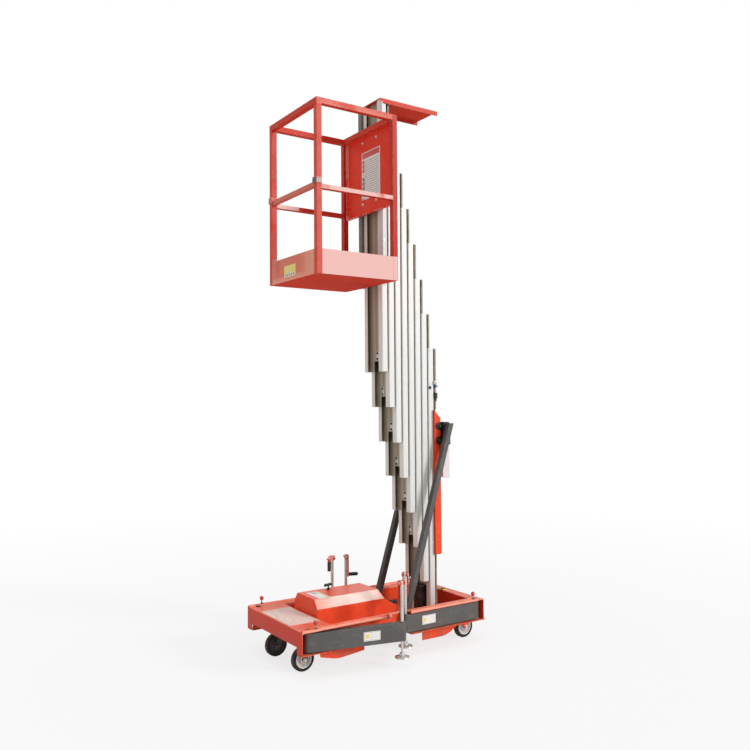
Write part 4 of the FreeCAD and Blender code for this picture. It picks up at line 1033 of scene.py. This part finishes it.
# Blank sticker on the front toe board, with a row of plain marks.
bm = bmesh.new()
plate(bm, 143, 32, 2513, 0.156, 0.074, 0.0004, 0.003, 0)
plate(bm, 142.6, 32, 2524, 0.150, 0.046, 0.0002, 0.002, 0)
plate(bm, 142.6, 32, 2488, 0.148, 0.018, 0.0002, 0.002, 1)
for k in range(5):
    plate(bm, 142.4, 86 - 27 * k, 2488, 0.016, 0.013, 0.0002, 0.002, 2)
piece("toe_board_sticker", bm, "section_1", [YELLOW_FILM, WHITE_FILM, DARK_FILM])

# Welds round the ends of the mid rails, under the top ring and down the toe boards' corners.
bm = bmesh.new()
for sign in (-1, 1):
    outer = sign * 324.5
    inner = sign * 286.5
    for u, way in ((181, 1), (717, -1)):
        for z in (2980, 3008):
            weld_bead(bm, at(u + way, outer - sign, z), at(u + way, inner + sign, z), 0.0022)
        weld_bead(bm, at(u + way * 0.5, inner, 2981), at(u + way * 0.5, inner, 3007), 0.0022)
        weld_bead(bm, at(u + way, outer - sign * 1.5, 3511), at(u + way, inner + sign * 1.5, 3511), 0.0022)
        weld_bead(bm, at(u + way * 0.5, sign * 322, 2455), at(u + way * 0.5, sign * 322, 2603), 0.0018)
piece("cage_welds", bm, "section_1", [CAP_PAINT])

# Bolts through the angles that hold the cage to section 1.
bm = bmesh.new()
for sign in (-1, 1):
    for z in (2520, 2760, 3000, 3240, 3480):
        hexed(bm, at(786, sign * 116, z), Y * sign, 0.014, 0.007)
        hexed(bm, at(761, sign * 136, z), X, 0.014, 0.007, 0.004)
piece("angle_bolts", bm, "section_1", [ZINC])

# Grey wear plate on the near collar's front, and a pale patch on its outer side as a painted highlight.
bm = bmesh.new()
plate(bm, 137.6, -305.5, 3028, 0.048, 0.034, 0.0016, 0.004)
patch(bm, at(156.5, -330, 3026), X, Z, 0.037, 0.028, 0.0012, 0.004, 1)
piece("collar_plates", bm, "drop_bar", [ARM_PAINT, PINK_HIGHLIGHT])

# The cage angles' tops, up to the mast cap.
ANGLE_SHAPE = ((755, 110), (755, 150), (761, 150), (761, 116), (807, 116), (807, 110))
bm = bmesh.new()
for sign in (-1, 1):
    upright(bm, [(u, sign * y) for u, y in ANGLE_SHAPE], 3549, 3701)
piece("cage_angle_tops", bm, "section_1", [ANGLE], bevel=0.0010)


# The photograph's camera: place in metres, yaw, pitch and roll in degrees, lens in millimetres.
CAMERA_PLACE = (-2.990, -4.558, 1.657)
CAMERA_TURN = (-33.91, 1.907, -0.396)
CAMERA_LENS = 38.23


def camera():
    """The camera, placed and turned as the photograph's was."""
    yaw, pitch, roll = (math.radians(a) for a in CAMERA_TURN)
    ahead = Vector((-math.sin(yaw) * math.cos(pitch), math.cos(yaw) * math.cos(pitch), math.sin(pitch)))
    right = ahead.cross(Z).normalized()
    up = right.cross(ahead)
    side = math.cos(roll) * right + math.sin(roll) * up
    top = -math.sin(roll) * right + math.cos(roll) * up
    data = bpy.data.cameras.new("photo_view")
    data.lens = CAMERA_LENS
    data.sensor_width = 36.0
    data.clip_end = 100.0
    obj = bpy.data.objects.new("photo_view", data)
    turned = Matrix((side, top, -ahead)).transposed().to_4x4()
    obj.matrix_world = Matrix.Translation(CAMERA_PLACE) @ turned
    SCENE.collection.objects.link(obj)
    SCENE.camera = obj


def sun(name, toward, strength, angle):
    """Soft sunlight from a direction, its angle in degrees."""
    data = bpy.data.lights.new(name, "SUN")
    data.energy = strength
    data.angle = math.radians(angle)
    obj = bpy.data.objects.new(name, data)
    obj.rotation_euler = Vector(toward).to_track_quat("Z", "Y").to_euler()
    SCENE.collection.objects.link(obj)


def seen(tree):
    """1 for rays that show the background: camera, glossy and transmission rays."""
    path = wired(tree, "ShaderNodeLightPath")
    total = path.outputs["Is Camera Ray"]
    for word in ("Is Glossy Ray", "Is Transmission Ray"):
        total = wired(tree, "ShaderNodeMath", total, path.outputs[word], operation="MAXIMUM").outputs[0]
    return total


def studio():
    """White surroundings, two suns, and a floor that fades into the white away from the machine."""
    world = bpy.data.worlds.new("studio")
    SCENE.world = world
    world.use_nodes = True
    tree = world.node_tree
    back = tree.nodes["Background"]
    back.inputs["Color"].default_value = (1, 1, 1, 1)
    level = wired(tree, "ShaderNodeMix", seen(tree), data_type="FLOAT")
    level.inputs[2].default_value = 0.46
    level.inputs[3].default_value = 1.0
    tree.links.new(level.outputs[0], back.inputs["Strength"])
    sun("key", (0.55, -0.78, 0.34), 1.9, 16)
    sun("top", (-0.25, -0.15, 0.95), 0.75, 40)

    bm = bmesh.new()
    bmesh.ops.create_circle(bm, cap_ends=True, segments=96, radius=24.0)
    mesh = bpy.data.meshes.new("floor")
    bm.to_mesh(mesh)
    bm.free()
    obj = bpy.data.objects.new("floor", mesh)
    SCENE.collection.objects.link(obj)
    mat = bpy.data.materials.new("studio_floor")
    mat.use_nodes = True
    tree = mat.node_tree
    tree.nodes.clear()
    diffuse = wired(tree, "ShaderNodeBsdfDiffuse", (0.86, 0.86, 0.86, 1))
    glow = wired(tree, "ShaderNodeEmission", (1, 1, 1, 1))
    coords = wired(tree, "ShaderNodeTexCoord")
    far = wired(tree, "ShaderNodeVectorMath", coords.outputs["Object"], operation="LENGTH")
    share = wired(tree, "ShaderNodeMapRange", far.outputs["Value"], 2.0, 7.0, 0.76, 1.0)
    both = wired(tree, "ShaderNodeMath", share.outputs[0], seen(tree), operation="MULTIPLY")
    mix = wired(tree, "ShaderNodeMixShader", both.outputs[0], diffuse.outputs[0], glow.outputs[0])
    wired(tree, "ShaderNodeOutputMaterial", mix.outputs[0])
    mesh.materials.append(mat)


camera()
studio()
SCENE.view_settings.view_transform = "Standard"
